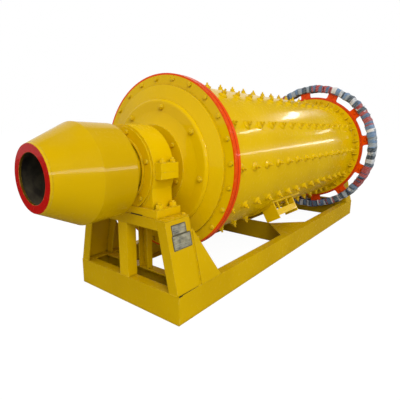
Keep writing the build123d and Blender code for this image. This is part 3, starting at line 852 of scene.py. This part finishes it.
@dataclass
class GearWrap:
    """Strips of woven cloth wound round the gear's rim and through its windows, over a snug sleeve.

    Lengths are in mm and angles in degrees.
    """

    rim_start: float = 1788.0
    rim_end: float = 1904.0
    feed_cover: float = 9.0
    back_cover: float = 20.0
    inner_radius: float = 787.0
    outer_radius: float = 858.0
    corner: float = 17.0
    heel: float = 10.0
    lip: float = 30.0
    crown: float = 2.5
    crown_half: float = 20.0
    sleeve_thickness: float = 1.4
    strip_thickness: float = 1.4
    strip_width: float = 68.0
    strip_bulge: float = 6.0
    strip_columns: int = 7
    flat_reach: float = 12.0
    strip_lift: float = 2.0
    strips: int = 104
    spacing_spread: float = 0.28
    width_spread: tuple[float, float] = (0.75, 1.35)
    slant: float = 9.0
    slant_spread: float = 13.0
    lift_spread: float = 0.010
    lumps_per_metre: float = 16.0
    lump_height: float = 12.0
    red_at: float = 117.0
    red_reach: float = 7.0
    red_tone: float = 0.52
    tone_step: float = 0.467
    tone_spread: float = 0.16
    end_tone: float = 0.18
    ends: tuple[LooseEnd, ...] = (
        LooseEnd(50.5, 1822.0, 50.0, 26.0, 9.0), LooseEnd(58.0, 1850.0, 46.0, 28.0, -8.0),
        LooseEnd(80.0, 1820.0, 48.0, 26.0, 8.0), LooseEnd(84.0, 1872.0, 46.0, 24.0, -9.0),
        LooseEnd(128.0, 1830.0, 44.0, 28.0, 7.0), LooseEnd(214.0, 1840.0, 50.0, 24.0, -8.0),
        LooseEnd(301.0, 1862.0, 46.0, 26.0, 8.0))

    @property
    def middle(self) -> float:
        """The rim's middle along the mill."""
        return (self.rim_start + self.rim_end) / 2

    def section(self, lift: float) -> list[tuple[float, float]]:
        """The line that a strip follows over the rim, from inside the rim at the feed side to the same place behind.

        Args:
            lift: how far outside the sleeve it lies, in mm.

        Returns:
            Places along the mill and radii, in mm.
        """
        near, far = self.rim_start - self.feed_cover - lift, self.rim_end + self.back_cover + lift
        low, high = self.inner_radius - lift * 0.3, self.outer_radius + lift
        corner, heel, middle = self.corner, self.heel, (near + far) / 2
        return [
            (near + self.lip, low), (near + heel, low),
            *(self.bend(near + heel, low + heel, heel, 270 - 30 * step) for step in range(1, 4)),
            (near - 2.0, (low + high) / 2),
            *(self.bend(near + corner, high - corner, corner, 180 - 22.5 * step) for step in range(5)),
            (middle - self.crown_half, high + self.crown), (middle + self.crown_half, high + self.crown),
            *(self.bend(far - corner, high - corner, corner, 90 - 22.5 * step) for step in range(5)),
            (far + 2.0, (low + high) / 2),
            *(self.bend(far - heel, low + heel, heel, -30 * step) for step in range(4)),
            (far - self.lip, low),
        ]

    @staticmethod
    def bend(x: float, radius: float, size: float, angle: float) -> tuple[float, float]:
        """A point of a rounded corner of the section.

        Args:
            x: the corner's centre along the mill.
            radius: the corner's centre from the axis.
            size: the corner's own radius.
            angle: the point's direction in degrees, from +X towards larger radii.

        Returns:
            The point's place along the mill and radius.
        """
        return x + size * math.cos(math.radians(angle)), radius + size * math.sin(math.radians(angle))

    def sleeve(self) -> bpy.types.Object:
        """Build the closed sleeve under the strips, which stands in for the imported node."""
        thick, outside = self.sleeve_thickness, self.section(0.0)
        inside = [(x + math.copysign(thick, self.middle - x), r - thick) for x, r in outside[3:-3]]
        lips = [(outside[end][0], self.inner_radius + thick) for end in (0, -1)]
        piece = revolved("wrap_sleeve", [*outside, lips[1], *inside[::-1], lips[0]], 160)
        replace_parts(finish_piece(piece, Body.DRUM, Finish.CLOTH), "gear_wrap")
        return piece

    def strip(self) -> bpy.types.Object:
        """Build one strip at the drum's top, centred along the mill on the origin.

        Returns:
            The object to copy, with its UV map across and along the strip.
        """
        shape = bmesh.new()
        columns, levels = self.strip_columns, []
        flat = self.inner_radius + self.flat_reach
        for x, radius in self.section(self.strip_lift):
            level = []
            for column in range(columns):
                share = column / (columns - 1) - 0.5
                turn = share * self.strip_width / self.outer_radius
                rise = self.strip_bulge * (1 - (2 * share) ** 2) if radius > flat else 1.0
                reach = (radius + rise) * MM
                level.append(shape.verts.new(((x - self.middle) * MM, -reach * math.sin(turn), reach * math.cos(turn))))
            levels.append(level)
        sheet = shape.loops.layers.uv.new("UVMap")
        for row, (low, high) in enumerate(zip(levels, levels[1:])):
            for column in range(columns - 1):
                face = shape.faces.new((low[column], high[column], high[column + 1], low[column + 1]))
                for loop, (u, v) in zip(face.loops, ((0, 0), (0, 1), (1, 1), (1, 0))):
                    loop[sheet].uv = ((column + u) / (columns - 1), (row + v) / (len(levels) - 1))
        bmesh.ops.recalc_face_normals(shape, faces=shape.faces)
        return mesh_object("wrap_strip", shape, 60.0)

    def build(self) -> list[bpy.types.Object]:
        """Wind the strips round the rim.

        Returns:
            The strips, the sleeve and the loose ends.
        """
        recipe = Recipe("strips_wound_round_the_rim", Finish.CLOTH, {
            "Strip": self.strip(), "Count": self.strips, "Middle": self.middle * MM,
            "Slant": math.radians(self.slant), "Slant Spread": math.radians(self.slant_spread),
            "Lift Spread": self.lift_spread, "Lump Size": self.lumps_per_metre,
            "Lump Height": self.lump_height * MM, "Seed": 20, "Red At": self.red_at / 360,
            "Red Reach": self.red_reach / 360})
        tree, given = recipe.tree, recipe.given
        index = tree.add("GeometryNodeInputIndex").outputs[0]
        drift = tree.chance(-self.spacing_spread, self.spacing_spread, given["Seed"])
        share = tree.math("DIVIDE", tree.plus(index, drift), given["Count"])
        centre = tree.xyz(given["Middle"], 0.0, AXIS_HEIGHT)
        points = tree.add("GeometryNodePoints", {"Count": given["Count"], "Position": centre}).outputs[0]
        grow = tree.plus(tree.chance(-0.001, given["Lift Spread"], 21), 1.0)
        scale = tree.xyz(1.0, tree.chance(*self.width_spread, 22), grow)
        copies = tree.copies(points, given["Strip"], tree.xyz(tree.times(share, 2 * math.pi)), scale)
        slant = tree.math("MULTIPLY_ADD", tree.chance(-1.0, 1.0, 23), given["Slant Spread"], given["Slant"])
        slanted = tree.turned(copies, tree.xyz(z=slant))
        drift = tree.chance(0.0, self.tone_spread, 24)
        tone = tree.math("FRACT", tree.math("MULTIPLY_ADD", index, self.tone_step, drift))
        off_red = tree.math("ABSOLUTE", tree.math("SUBTRACT", share, given["Red At"]))
        all_red = tree.math("LESS_THAN", off_red, given["Red Reach"])
        tone = tree.plus(tree.times(tone, tree.math("SUBTRACT", 1.0, all_red)), tree.times(all_red, self.red_tone))
        toned = tree.add("GeometryNodeStoreNamedAttribute",
                         {"Geometry": slanted, "Name": "strip_tone", "Value": tone}, domain="INSTANCE")
        real = tree.add("GeometryNodeRealizeInstances", {0: toned.outputs[0]}).outputs[0]
        lumps = tree.add("ShaderNodeTexNoise", {"Scale": given["Lump Size"], "Detail": 2.0}).outputs["Fac"]
        lift = tree.times(tree.ramp(lumps, 0.32, 0.68), given["Lump Height"])
        piece = recipe.run(tree.pushed(real, lift), "wrap_strips")
        solid = piece.modifiers.new("cloth_thickness", "SOLIDIFY")
        solid.thickness = self.strip_thickness * MM
        solid.offset = -1.0
        return [finish_piece(piece, Body.DRUM, Finish.CLOTH), self.sleeve(), self.loose_ends()]

    def loose_ends(self) -> bpy.types.Object:
        """Build the short tape ends that stick out of the winding, in one tone of the cloth."""
        shape = bmesh.new()
        toned = shape.verts.layers.float.new("strip_tone")
        for end in self.ends:
            loft(shape, [[shape.verts.new(corner) for corner in ring] for ring in end.rings(self.outer_radius)])
        for corner in shape.verts:
            corner[toned] = self.end_tone
        bmesh.ops.recalc_face_normals(shape, faces=shape.faces)
        return finish_piece(mesh_object("wrap_loose_ends", shape), Body.DRUM, Finish.CLOTH)


@dataclass
class Nameplates:
    """Two bare aluminium plates on the sloping face of the feed trestle's -Y leg, one over the other.

    Each plate is its left, right, low and high edge and how far its face stands off the leg, in mm.
    """

    foot: tuple[float, float] = (-528.0, 205.0)
    top: tuple[float, float] = (-415.0, 690.0)
    plates: tuple[tuple[float, float, float, float, float], ...] = (
        (-1660.0, -1519.0, 582.0, 652.0, 1.6), (-1669.0, -1487.0, 486.0, 584.0, 3.4))
    thickness: float = 1.6
    rim: float = 4.0
    pressed: float = 0.8
    corner: float = 5.0
    rivet_inset: float = 9.0

    def to_leg(self) -> Matrix:
        """Matrix from a plate's own plane, along the mill and up the slope, to the leg's face."""
        up = Vector((0, self.top[0] - self.foot[0], self.top[1] - self.foot[1])).normalized()
        along = Vector((1, 0, 0))
        turn = Matrix((along, up, along.cross(up))).transposed().to_4x4()
        return Matrix.Translation(Vector((0, self.foot[0], self.foot[1])) * MM) @ turn

    def build(self) -> bpy.types.Object:
        """Build both plates, with a pressed rim and their rivets, as one finished piece."""
        shape = bmesh.new()
        framed = shape.verts.layers.float.new("plate_rim")
        rise = Vector((self.top[0] - self.foot[0], self.top[1] - self.foot[1]))
        stretch = rise.length / rise.y
        for left, right, low, high, out in self.plates:
            bottom, top = ((v - self.foot[1]) * stretch for v in (low, high))
            face = out - self.pressed
            outline = ((0.0, out - self.thickness), (0.0, out), (self.rim, out), (self.rim * 1.4, face),
                       (self.rim * 1.8, face))
            levels = []
            for inset, height in outline:
                corners = rounded_corners(left + inset, right - inset, bottom + inset, top - inset, self.corner)
                levels.append([shape.verts.new((x * MM, y * MM, height * MM)) for x, y in corners])
            for corner in sum(levels[:4], []):
                corner[framed] = 1.0
            loft(shape, levels)
            for x in (left + self.rivet_inset, right - self.rivet_inset):
                for y in (bottom + self.rivet_inset, top - self.rivet_inset):
                    start = len(shape.verts)
                    Stack(8, ((3.6, out - 1.0), (3.6, out + 0.6), (2.0, out + 2.0))).add_to(shape)
                    shape.verts.ensure_lookup_table()
                    bmesh.ops.translate(shape, verts=shape.verts[start:], vec=(x * MM, y * MM, 0))
        bmesh.ops.transform(shape, matrix=self.to_leg(), verts=shape.verts)
        bmesh.ops.recalc_face_normals(shape, faces=shape.faces)
        return finish_piece(mesh_object("nameplates", shape), Body.BASE, Finish.NAMEPLATE)


def rounded_corners(left: float, right: float, low: float, high: float, radius: float) -> list[tuple[float, float]]:
    """Outline of a rectangle with rounded corners.

    Args:
        left: its lowest first coordinate.
        right: its highest first coordinate.
        low: its lowest second coordinate.
        high: its highest second coordinate.
        radius: the corners' radius.

    Returns:
        The outline's points, counter-clockwise.
    """
    points = []
    for x, y, start in ((right, high, 0), (left, high, 90), (left, low, 180), (right, low, 270)):
        centre = (x - math.copysign(radius, x - (left + right) / 2), y - math.copysign(radius, y - (low + high) / 2))
        for step in range(4):
            turn = math.radians(start + 30 * step)
            points.append((centre[0] + radius * math.cos(turn), centre[1] + radius * math.sin(turn)))
    return points


@dataclass
class Interior:
    """The unpainted inner faces of the feed drum and the two trunnions, as thin skins."""

    skin: float = 1.0
    end_wall: float = -1831.0
    feed_drum: Profile = ((-2306.0, 192.5), (-2065.0, 306.5), (end_wall, 299.5), (end_wall, 150.0))
    feed_bore: Profile = ((-1829.5, 147.0), (-1307.0, 147.0))
    discharge_bore: Profile = ((2318.0, 147.0), (1881.0, 147.0))

    def build(self) -> list[bpy.types.Object]:
        """Build the skins and return the finished pieces."""
        pieces = []
        for name, line in (("feed_drum_inside", self.feed_drum), ("feed_bore_inside", self.feed_bore),
                           ("discharge_bore_inside", self.discharge_bore)):
            inner = [(x - (self.skin if x == self.end_wall else 0.0), r - self.skin) for x, r in line]
            piece = revolved(name, [*line, *inner[::-1]], 96)
            pieces.append(finish_piece(piece, Body.DRUM, Finish.INSIDE))
        return pieces


@dataclass
class DrumFasteners:
    """Every bolt, nut and stud that turns with the drum. Places in mm, angles from the top towards -Y."""

    sets: tuple[Rows, ...] = (
        Rows("feed_head_bolts", FLANGE_BOLT, Facing.FEED, 639.0, -1295.0, 24, 10.6, 15.0),
        Rows("feed_head_nuts", NUT_AND_STUD, Facing.DISCHARGE, 639.0, -1229.0, 24, 10.6, 15.0),
        Rows("feed_trunnion_bolts", TRUNNION_BOLT, Facing.FEED, 433.0, -1366.0, 8, -36.2, 45.0),
        Rows("feed_shoulder_bolts", FLANGE_BOLT, Facing.FEED, 262.0, -1402.0, 6, 52.5, 60.0),
        Rows("feed_drum_nuts", FLANGE_BOLT, Facing.DISCHARGE, 224.0, -1789.0, 8, 22.5, 45.0),
        Rows("liner_bolts", LINER_BOLT, Facing.OUT, 612.0, -1129.0, 12, 0.0, 30.0, rows=15, row_pitch=200.0,
             gap_at=-29.0, gap_reach=310.0, gap_angle=150.0, spin=0.0),
        Rows("liner_bolts_on_pad", LINER_BOLT, Facing.OUT, 628.3, 252.0, 1, 150.0, 0.0),
        Rows("liner_bolts_on_door", LINER_BOLT, Facing.OUT, 644.6, -136.0, 1, 150.0, 0.0, rows=2, row_pitch=170.0),
        Rows("discharge_flange_bolts", FLANGE_BOLT, Facing.FEED, 655.0, 1771.0, 24, 11.5, 15.0),
        Rows("gear_spoke_bolts", FLANGE_BOLT, Facing.FEED, 752.0, 1804.0, 12, 20.0, 30.0, finish=Finish.RED),
        Rows("gear_spoke_nuts", NUT_AND_STUD, Facing.DISCHARGE, 752.0, 1836.0, 12, 20.0, 30.0, finish=Finish.RED),
        Rows("discharge_head_nuts", NUT_AND_STUD, Facing.DISCHARGE, 640.0, 1869.0, 24, 11.5, 15.0),
        Rows("discharge_trunnion_bolts", TRUNNION_BOLT, Facing.DISCHARGE, 433.0, 1940.0, 8, -36.2, 45.0),
        Rows("discharge_shoulder_bolts", FLANGE_BOLT, Facing.DISCHARGE, 262.0, 1976.0, 6, 52.5, 60.0),
        Rows("manhole_door_bolts", FLANGE_BOLT, Facing.OUT, 644.5, -272.0, 2, 138.0, 24.0, rows=4, row_pitch=115.0),
    )

    def build(self) -> list[bpy.types.Object]:
        """Build every set and return the finished pieces."""
        return [rows.build() for rows in self.sets]


@dataclass
class BearingFasteners:
    """The bolts of both bearings: round their covers, and standing on their ears, their feet and the tables.

    A standing set is its name, its kind, where it stands along the mill, how far to each side and how high, in mm.
    """

    covers: tuple[tuple[str, Facing, float], ...] = (
        ("feed_outer_cover_bolts", Facing.FEED, -1696.0), ("feed_inner_cover_bolts", Facing.DISCHARGE, -1482.0),
        ("discharge_inner_cover_bolts", Facing.FEED, 2004.0), ("discharge_outer_cover_bolts", Facing.DISCHARGE, 2218.0))
    standing: tuple[tuple[str, Fastener, tuple[float, ...], float, float], ...] = (
        ("ear_studs", NUT_AND_STUD, (-1635.0, -1538.0, 2060.0, 2157.0), 331.0, 1050.0),
        ("foot_bolts", FOOT_BOLT, (-1655.0, -1525.0, 2047.0, 2177.0), 318.0, 745.0),
        ("table_screws", FLANGE_BOLT, (-1486.0, 2008.0), 384.0, 690.0))
    cover_circle: float = 259.0
    cover_bolts: int = 5

    def build(self) -> list[bpy.types.Object]:
        """Build the bolts and return the finished pieces."""
        pieces = [Rows(name, FLANGE_BOLT, facing, self.cover_circle, station, self.cover_bolts, 255.0, 60.0,
                       body=Body.BASE).build() for name, facing, station in self.covers]
        for name, kind, stations, side, top in self.standing:
            places = tuple((x, hand * side, top) for x in stations for hand in (-1, 1))
            pieces.append(FastenersAt(name, kind, places).build())
        return pieces


@dataclass
class Welds:
    """The welds that show, on the drum and on the base, the red flanges' joint and dark fillings of painted shade in
    two open gaps. In mm.

    The gaps, under the feed trestle's -Y foot and under its bearing, are outlines with a low and a high end; their dark
    fillings are painted shade.
    A ring is its name, its station, its radius and its bead's radius. The manhole's pad has a bead round each end,
    given by the ends' stations and the arc's two angles, and a straight one along each side. A foot's bead is
    where it starts and stops and its side of the mill.
    """

    joint: Profile = ((-1265.5, 674.6), (-1265.5, 675.3), (-1258.5, 675.3), (-1258.5, 674.6))
    gaps: tuple[tuple[Profile, float, float], ...] = (
        (((-1704.0, -536.0), (-1704.0, -528.2), (-1500.0, -528.2), (-1500.0, -530.0)), 200.2, 205.0),
        (((-1705.0, -206.0), (-1702.5, -206.0), (-1702.5, -92.0), (-1705.0, -92.0)), 690.2, 697.5))
    rings: tuple[tuple[str, float, float, float], ...] = (
        ("feed_flange_weld", -1227.0, 613.0, 6.0), ("discharge_flange_weld", 1769.0, 613.0, 6.0),
        ("shell_seam_welds", 1240.0, 611.0, 4.0))
    pad: tuple[float, float] = (-320.0, 311.0)
    pad_ends: tuple[float, float, float, float] = (-321.0, 312.0, 130.0, 170.0)
    pad_angles: tuple[float, float] = (129.6, 170.4)
    pad_radii: tuple[float, float] = (613.0, 615.0)
    trestle_faces: tuple[float, ...] = (-1709.0, -1469.0, 1991.0, 2231.0)
    face_spans: tuple[tuple[float, float], ...] = ((-522.0, -455.0), (455.0, 522.0), (-46.0, 46.0))
    feet: tuple[tuple[float, float, int], ...] = (
        (-1501.0, -1245.0, -1), (-1705.0, -1245.0, 1), (1995.0, 2227.0, -1), (1995.0, 2227.0, 1))
    foot_side: float = 529.0
    foot_top: float = 206.0
    brace: tuple[Point, Point] = ((-1469.0, 529.0, 203.0), (-1469.0, 438.6, 593.0))

    def drum_runs(self) -> tuple[WeldBead, ...]:
        """The beads on the drum: the rings, and those round the manhole's pad."""
        first, last, start, end = self.pad_ends
        low, high = self.pad_radii
        around = [circle_run(x, low, start, end) for x in (first, last)]
        for angle in self.pad_angles:
            y, z = -high * math.sin(math.radians(angle)), AXIS_HEIGHT / MM + high * math.cos(math.radians(angle))
            around.append(tuple((x, y, z) for x in self.pad))
        rings = (WeldBead(name, (circle_run(x, radius),), bead, Body.DRUM) for name, x, radius, bead in self.rings)
        return *rings, WeldBead("pad_weld", tuple(around), 5.0, Body.DRUM)

    def base_runs(self) -> tuple[WeldBead, ...]:
        """The beads on the base."""
        top = self.foot_top
        runs = [((x0, hand * self.foot_side, top), (x1, hand * self.foot_side, top)) for x0, x1, hand in self.feet]
        runs += [((face, low, top), (face, high, top)) for face in self.trestle_faces for low, high in self.face_spans]
        braces = tuple(tuple((x, hand * y, z) for x, y, z in self.brace) for hand in (-1, 1))
        return WeldBead("trestle_foot_welds", tuple(runs), 4.0), WeldBead("brace_welds", braces, 3.5)

    def open_gaps(self) -> bpy.types.Object:
        """The open gaps' thin dark fillings, which are painted shade."""
        shape = bmesh.new()
        for outline, *levels in self.gaps:
            loft(shape, [[shape.verts.new((x * MM, y * MM, z * MM)) for x, y in outline] for z in levels])
        bmesh.ops.recalc_face_normals(shape, faces=shape.faces)
        return mesh_object("open_gaps", shape)

    def build(self) -> list[bpy.types.Object]:
        """Build every bead and return the finished pieces."""
        # The joint ring's darker red is partly painted shade in the seam between the flanges.
        joint = finish_piece(revolved("feed_flange_joint", self.joint, 180), Body.DRUM, Finish.JOINT)
        # Dark fillings of painted shade in the two open gaps.
        gaps = finish_piece(self.open_gaps(), Body.BASE, Finish.SHADOW_GAP)
        return [joint, gaps, *(bead.build() for bead in (*self.drum_runs(), *self.base_runs()))]


@dataclass
class CadFinishes:
    """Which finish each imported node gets: by its own name, by how its name starts, or by how it ends."""

    names: tuple[tuple[str, Finish], ...] = (
        ("feed_head", Finish.BANDED), ("feed_shell_flange", Finish.RED), ("girth_gear", Finish.RED),
        ("feed_mouth_ring", Finish.MOUTH), ("gear_wrap", Finish.CLOTH), ("barrel_liner", Finish.LINER),
        ("manhole_cover", Finish.DOOR), ("feed_drum", Finish.DRUM), ("discharge_shell_flange", Finish.GEAR_SIDE))
    base: tuple[str, ...] = (
        "side_beam", "feed_end_channel", "feed_inner_channel", "middle_", "discharge_inner_channel",
        "discharge_end_channel", "feed_table", "discharge_table", "feed_brace", "feed_leg", "discharge_leg")
    endings: tuple[tuple[str, Finish], ...] = (
        ("bearing_liner", Finish.BRONZE), ("bearing_pedestal", Finish.CASTING), ("bearing_cap", Finish.CASTING),
        ("trunnion", Finish.CASTING), ("bearing_outer_cover", Finish.MACHINED),
        ("bearing_inner_cover", Finish.MACHINED), ("discharge_head", Finish.MACHINED))

    def finish_of(self, node: str) -> Finish:
        """Choose a node's finish by its name."""
        if node in dict(self.names):
            return dict(self.names)[node]
        if node.startswith(self.base):
            return Finish.BASE
        return next((finish for ending, finish in self.endings if node.endswith(ending)), Finish.PLATE)

    def dress(self) -> None:
        """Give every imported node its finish."""
        for name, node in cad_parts.items():
            material = self.finish_of(name).material
            for place in node.material_slots:
                place.material = material
            if not node.material_slots:
                node.data.materials.append(material)
            log.info("%s: %s", name, material.name)


@dataclass
class Lamp:
    """A soft rectangular lamp that the camera doesn't see."""

    name: str
    at: Point
    aim: Point
    size: tuple[float, float]
    power: float
    mirrored: bool = True

    def build(self) -> None:
        """Hang the lamp; one that isn't mirrored leaves no highlight."""
        data = bpy.data.lights.new(self.name, "AREA")
        data.shape = "RECTANGLE"
        data.size, data.size_y = self.size
        data.energy = self.power
        lamp = linked(self.name, data)
        lamp.location = self.at
        lamp.rotation_euler = (Vector(self.aim) - Vector(self.at)).to_track_quat("-Z", "Y").to_euler()
        lamp.visible_camera = False
        lamp.visible_glossy = self.mirrored


@dataclass
class Card:
    """A dark card or a bright window beside the set, which only reflections see."""

    name: str
    corners: tuple[Point, ...]
    glow: float = 0.10

    def build(self) -> None:
        """Put the card up."""
        shape = bmesh.new()
        shape.faces.new([shape.verts.new(corner) for corner in self.corners])
        card = mesh_object(self.name, shape)
        material, tree = new_material(f"{self.name}_surface")
        shine = tree.add("ShaderNodeEmission", {"Color": WHITE, "Strength": self.glow})
        tree.add("ShaderNodeOutputMaterial", {"Surface": shine.outputs[0]})
        card.data.materials.append(material)
        card.visible_camera = card.visible_diffuse = card.visible_transmission = card.visible_shadow = False


@dataclass
class Studio:
    """Camera, floor, sky, lamps and cards. Angles in degrees, lengths in metres."""

    eye: Point = (-3.2154, -1.8879, 1.2777)
    heading: float = 38.21
    dip: float = 12.02
    roll: float = 0.43
    focal_share: float = 343.0 / 400.0
    sensor: float = 36.0
    ambient: float = 0.7
    floor_reach: float = 60.0
    floor_level: float = -0.0005
    lamps: tuple[Lamp, ...] = (
        Lamp("key_lamp", (-6.6, -8.2, 8.8), (0.0, 0.0, 0.9), (8.0, 7.0), 900.0, mirrored=False),
        Lamp("window_behind", (-6.2, -6.2, 3.3), (-1.4, -0.4, 1.1), (1.3, 0.5), 16.0),
        Lamp("window_low", (6.2, -3.6, 1.86), (0.0, -0.6, 1.15), (3.0, 0.18), 24.0),
        Lamp("window_high", (5.15, -2.9, 3.87), (-0.9, -0.55, 1.25), (0.7, 0.18), 9.0),
    )
    cards: tuple[Card, ...] = (
        Card("flag_far", ((9.0, -12.0, 0.1), (9.0, 3.0, 0.1), (9.0, 3.0, 8.0), (9.0, -12.0, 8.0))),
        Card("flag_side", ((-9.0, -9.0, 0.1), (9.0, -9.0, 0.1), (9.0, -9.0, 8.0), (-9.0, -9.0, 8.0))),
        Card("flag_above", ((-6.0, -9.0, 8.0), (9.0, -9.0, 8.0), (9.0, 5.0, 8.0), (-6.0, 5.0, 8.0))),
        Card("flag_below", ((-12.0, -9.0, 0.004), (9.0, -9.0, 0.004), (9.0, 12.0, 0.004), (-12.0, 12.0, 0.004))),
        Card("window_far", ((5.6, -1.3, 4.04), (5.6, -0.95, 3.70), (5.6, -0.1, 3.64), (5.6, -0.05, 3.90)), 17.0),
        Card("window_end", ((6.2, -2.15, 2.52), (6.2, -1.65, 2.47), (6.2, -1.65, 2.62), (6.2, -2.15, 2.64)), 9.0),
        Card("window_side", ((-1.4, -8.5, 2.8), (-0.4, -8.5, 2.8), (-0.4, -8.5, 7.8), (-1.4, -8.5, 7.8)), 45.0),
        Card("wall_left", ((-6.6, -8.8, 3.6), (-3.6, -8.8, 1.8), (-3.6, -8.8, 3.0), (-6.6, -8.8, 5.0)), 11.0),
        Card("wall_right", ((4.5, -8.8, 2.0), (7.5, -8.8, 1.85), (7.5, -8.8, 2.9), (4.5, -8.8, 3.1)), 10.0),
    )

    def camera(self) -> None:
        """Place the camera where the photograph was taken from."""
        turn, dip, roll = (math.radians(v) for v in (self.heading, self.dip, self.roll))
        ahead = Vector((math.cos(turn) * math.cos(dip), math.sin(turn) * math.cos(dip), -math.sin(dip)))
        level = Vector((math.sin(turn), -math.cos(turn), 0))
        above = level.cross(ahead)
        right = math.cos(roll) * level + math.sin(roll) * above
        up = -math.sin(roll) * level + math.cos(roll) * above
        data = bpy.data.cameras.new("camera")
        data.sensor_width = self.sensor
        data.lens = self.sensor * self.focal_share
        data.clip_end = 200.0
        eye = linked("camera", data)
        eye.matrix_world = Matrix.Translation(self.eye) @ Matrix((right, up, -ahead)).transposed().to_4x4()
        bpy.context.scene.camera = eye

    def sky(self) -> None:
        """Make the sky plain light for the object and white for the camera and reflections."""
        world = bpy.data.worlds.new("sky")
        bpy.context.scene.world = world
        world.use_nodes = True
        world.node_tree.nodes.clear()
        tree = Tree(world.node_tree)
        strength = tree.math("MULTIPLY_ADD", tree.backdrop_ray(), 1.0 - self.ambient, self.ambient)
        light = tree.add("ShaderNodeBackground", {"Color": WHITE, "Strength": strength})
        tree.add("ShaderNodeOutputWorld", {"Surface": light.outputs[0]})

    def floor(self) -> None:
        """Lay the pale floor, just under the object."""
        shape = bmesh.new()
        reach, level = self.floor_reach, self.floor_level
        corners = ((-reach, -reach), (reach, -reach), (reach, reach), (-reach, reach))
        shape.faces.new([shape.verts.new((x, y, level)) for x, y in corners])
        ground = mesh_object("floor", shape)
        material, tree = new_material("pale_painted_floor")
        place = tree.add("ShaderNodeTexCoord").outputs["Object"]
        worn = tree.ramp(tree.noise(place, 900.0, 4.0), 0.3, 0.7)
        colour = tree.mix(worn, linear("#F8F8F7"), linear("#F3F3F1"))
        lit = tree.add("ShaderNodeBsdfDiffuse", {"Color": colour}).outputs[0]
        bright = tree.add("ShaderNodeEmission", {"Color": WHITE, "Strength": 1.04}).outputs[0]
        seen = tree.add("ShaderNodeMixShader", {0: 0.92, 1: lit, 2: bright}).outputs[0]
        plain = tree.add("ShaderNodeBsdfDiffuse", {"Color": linear("#C4C3BE")}).outputs[0]
        shown = tree.add("ShaderNodeMixShader", {0: tree.backdrop_ray(), 1: plain, 2: seen})
        tree.add("ShaderNodeOutputMaterial", {"Surface": shown.outputs[0]})
        ground.data.materials.append(material)

    def build(self) -> None:
        """Set up everything round the object."""
        scene = bpy.context.scene
        scene.view_settings.view_transform = "Standard"
        self.camera()
        self.sky()
        self.floor()
        for thing in (*self.lamps, *self.cards):
            thing.build()


def main() -> None:
    """Build the studio and dress the mill, one sub-assembly after the other."""
    logging.basicConfig(level=logging.INFO, format="%(name)s: %(message)s")
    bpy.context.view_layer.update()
    Studio().build()
    CadFinishes().dress()
    for assembly in (DrumFasteners(), BearingFasteners(), Welds(), Nameplates(), Interior(), GearWrap()):
        assembly.build()


if __name__ == "__main__":
    main()
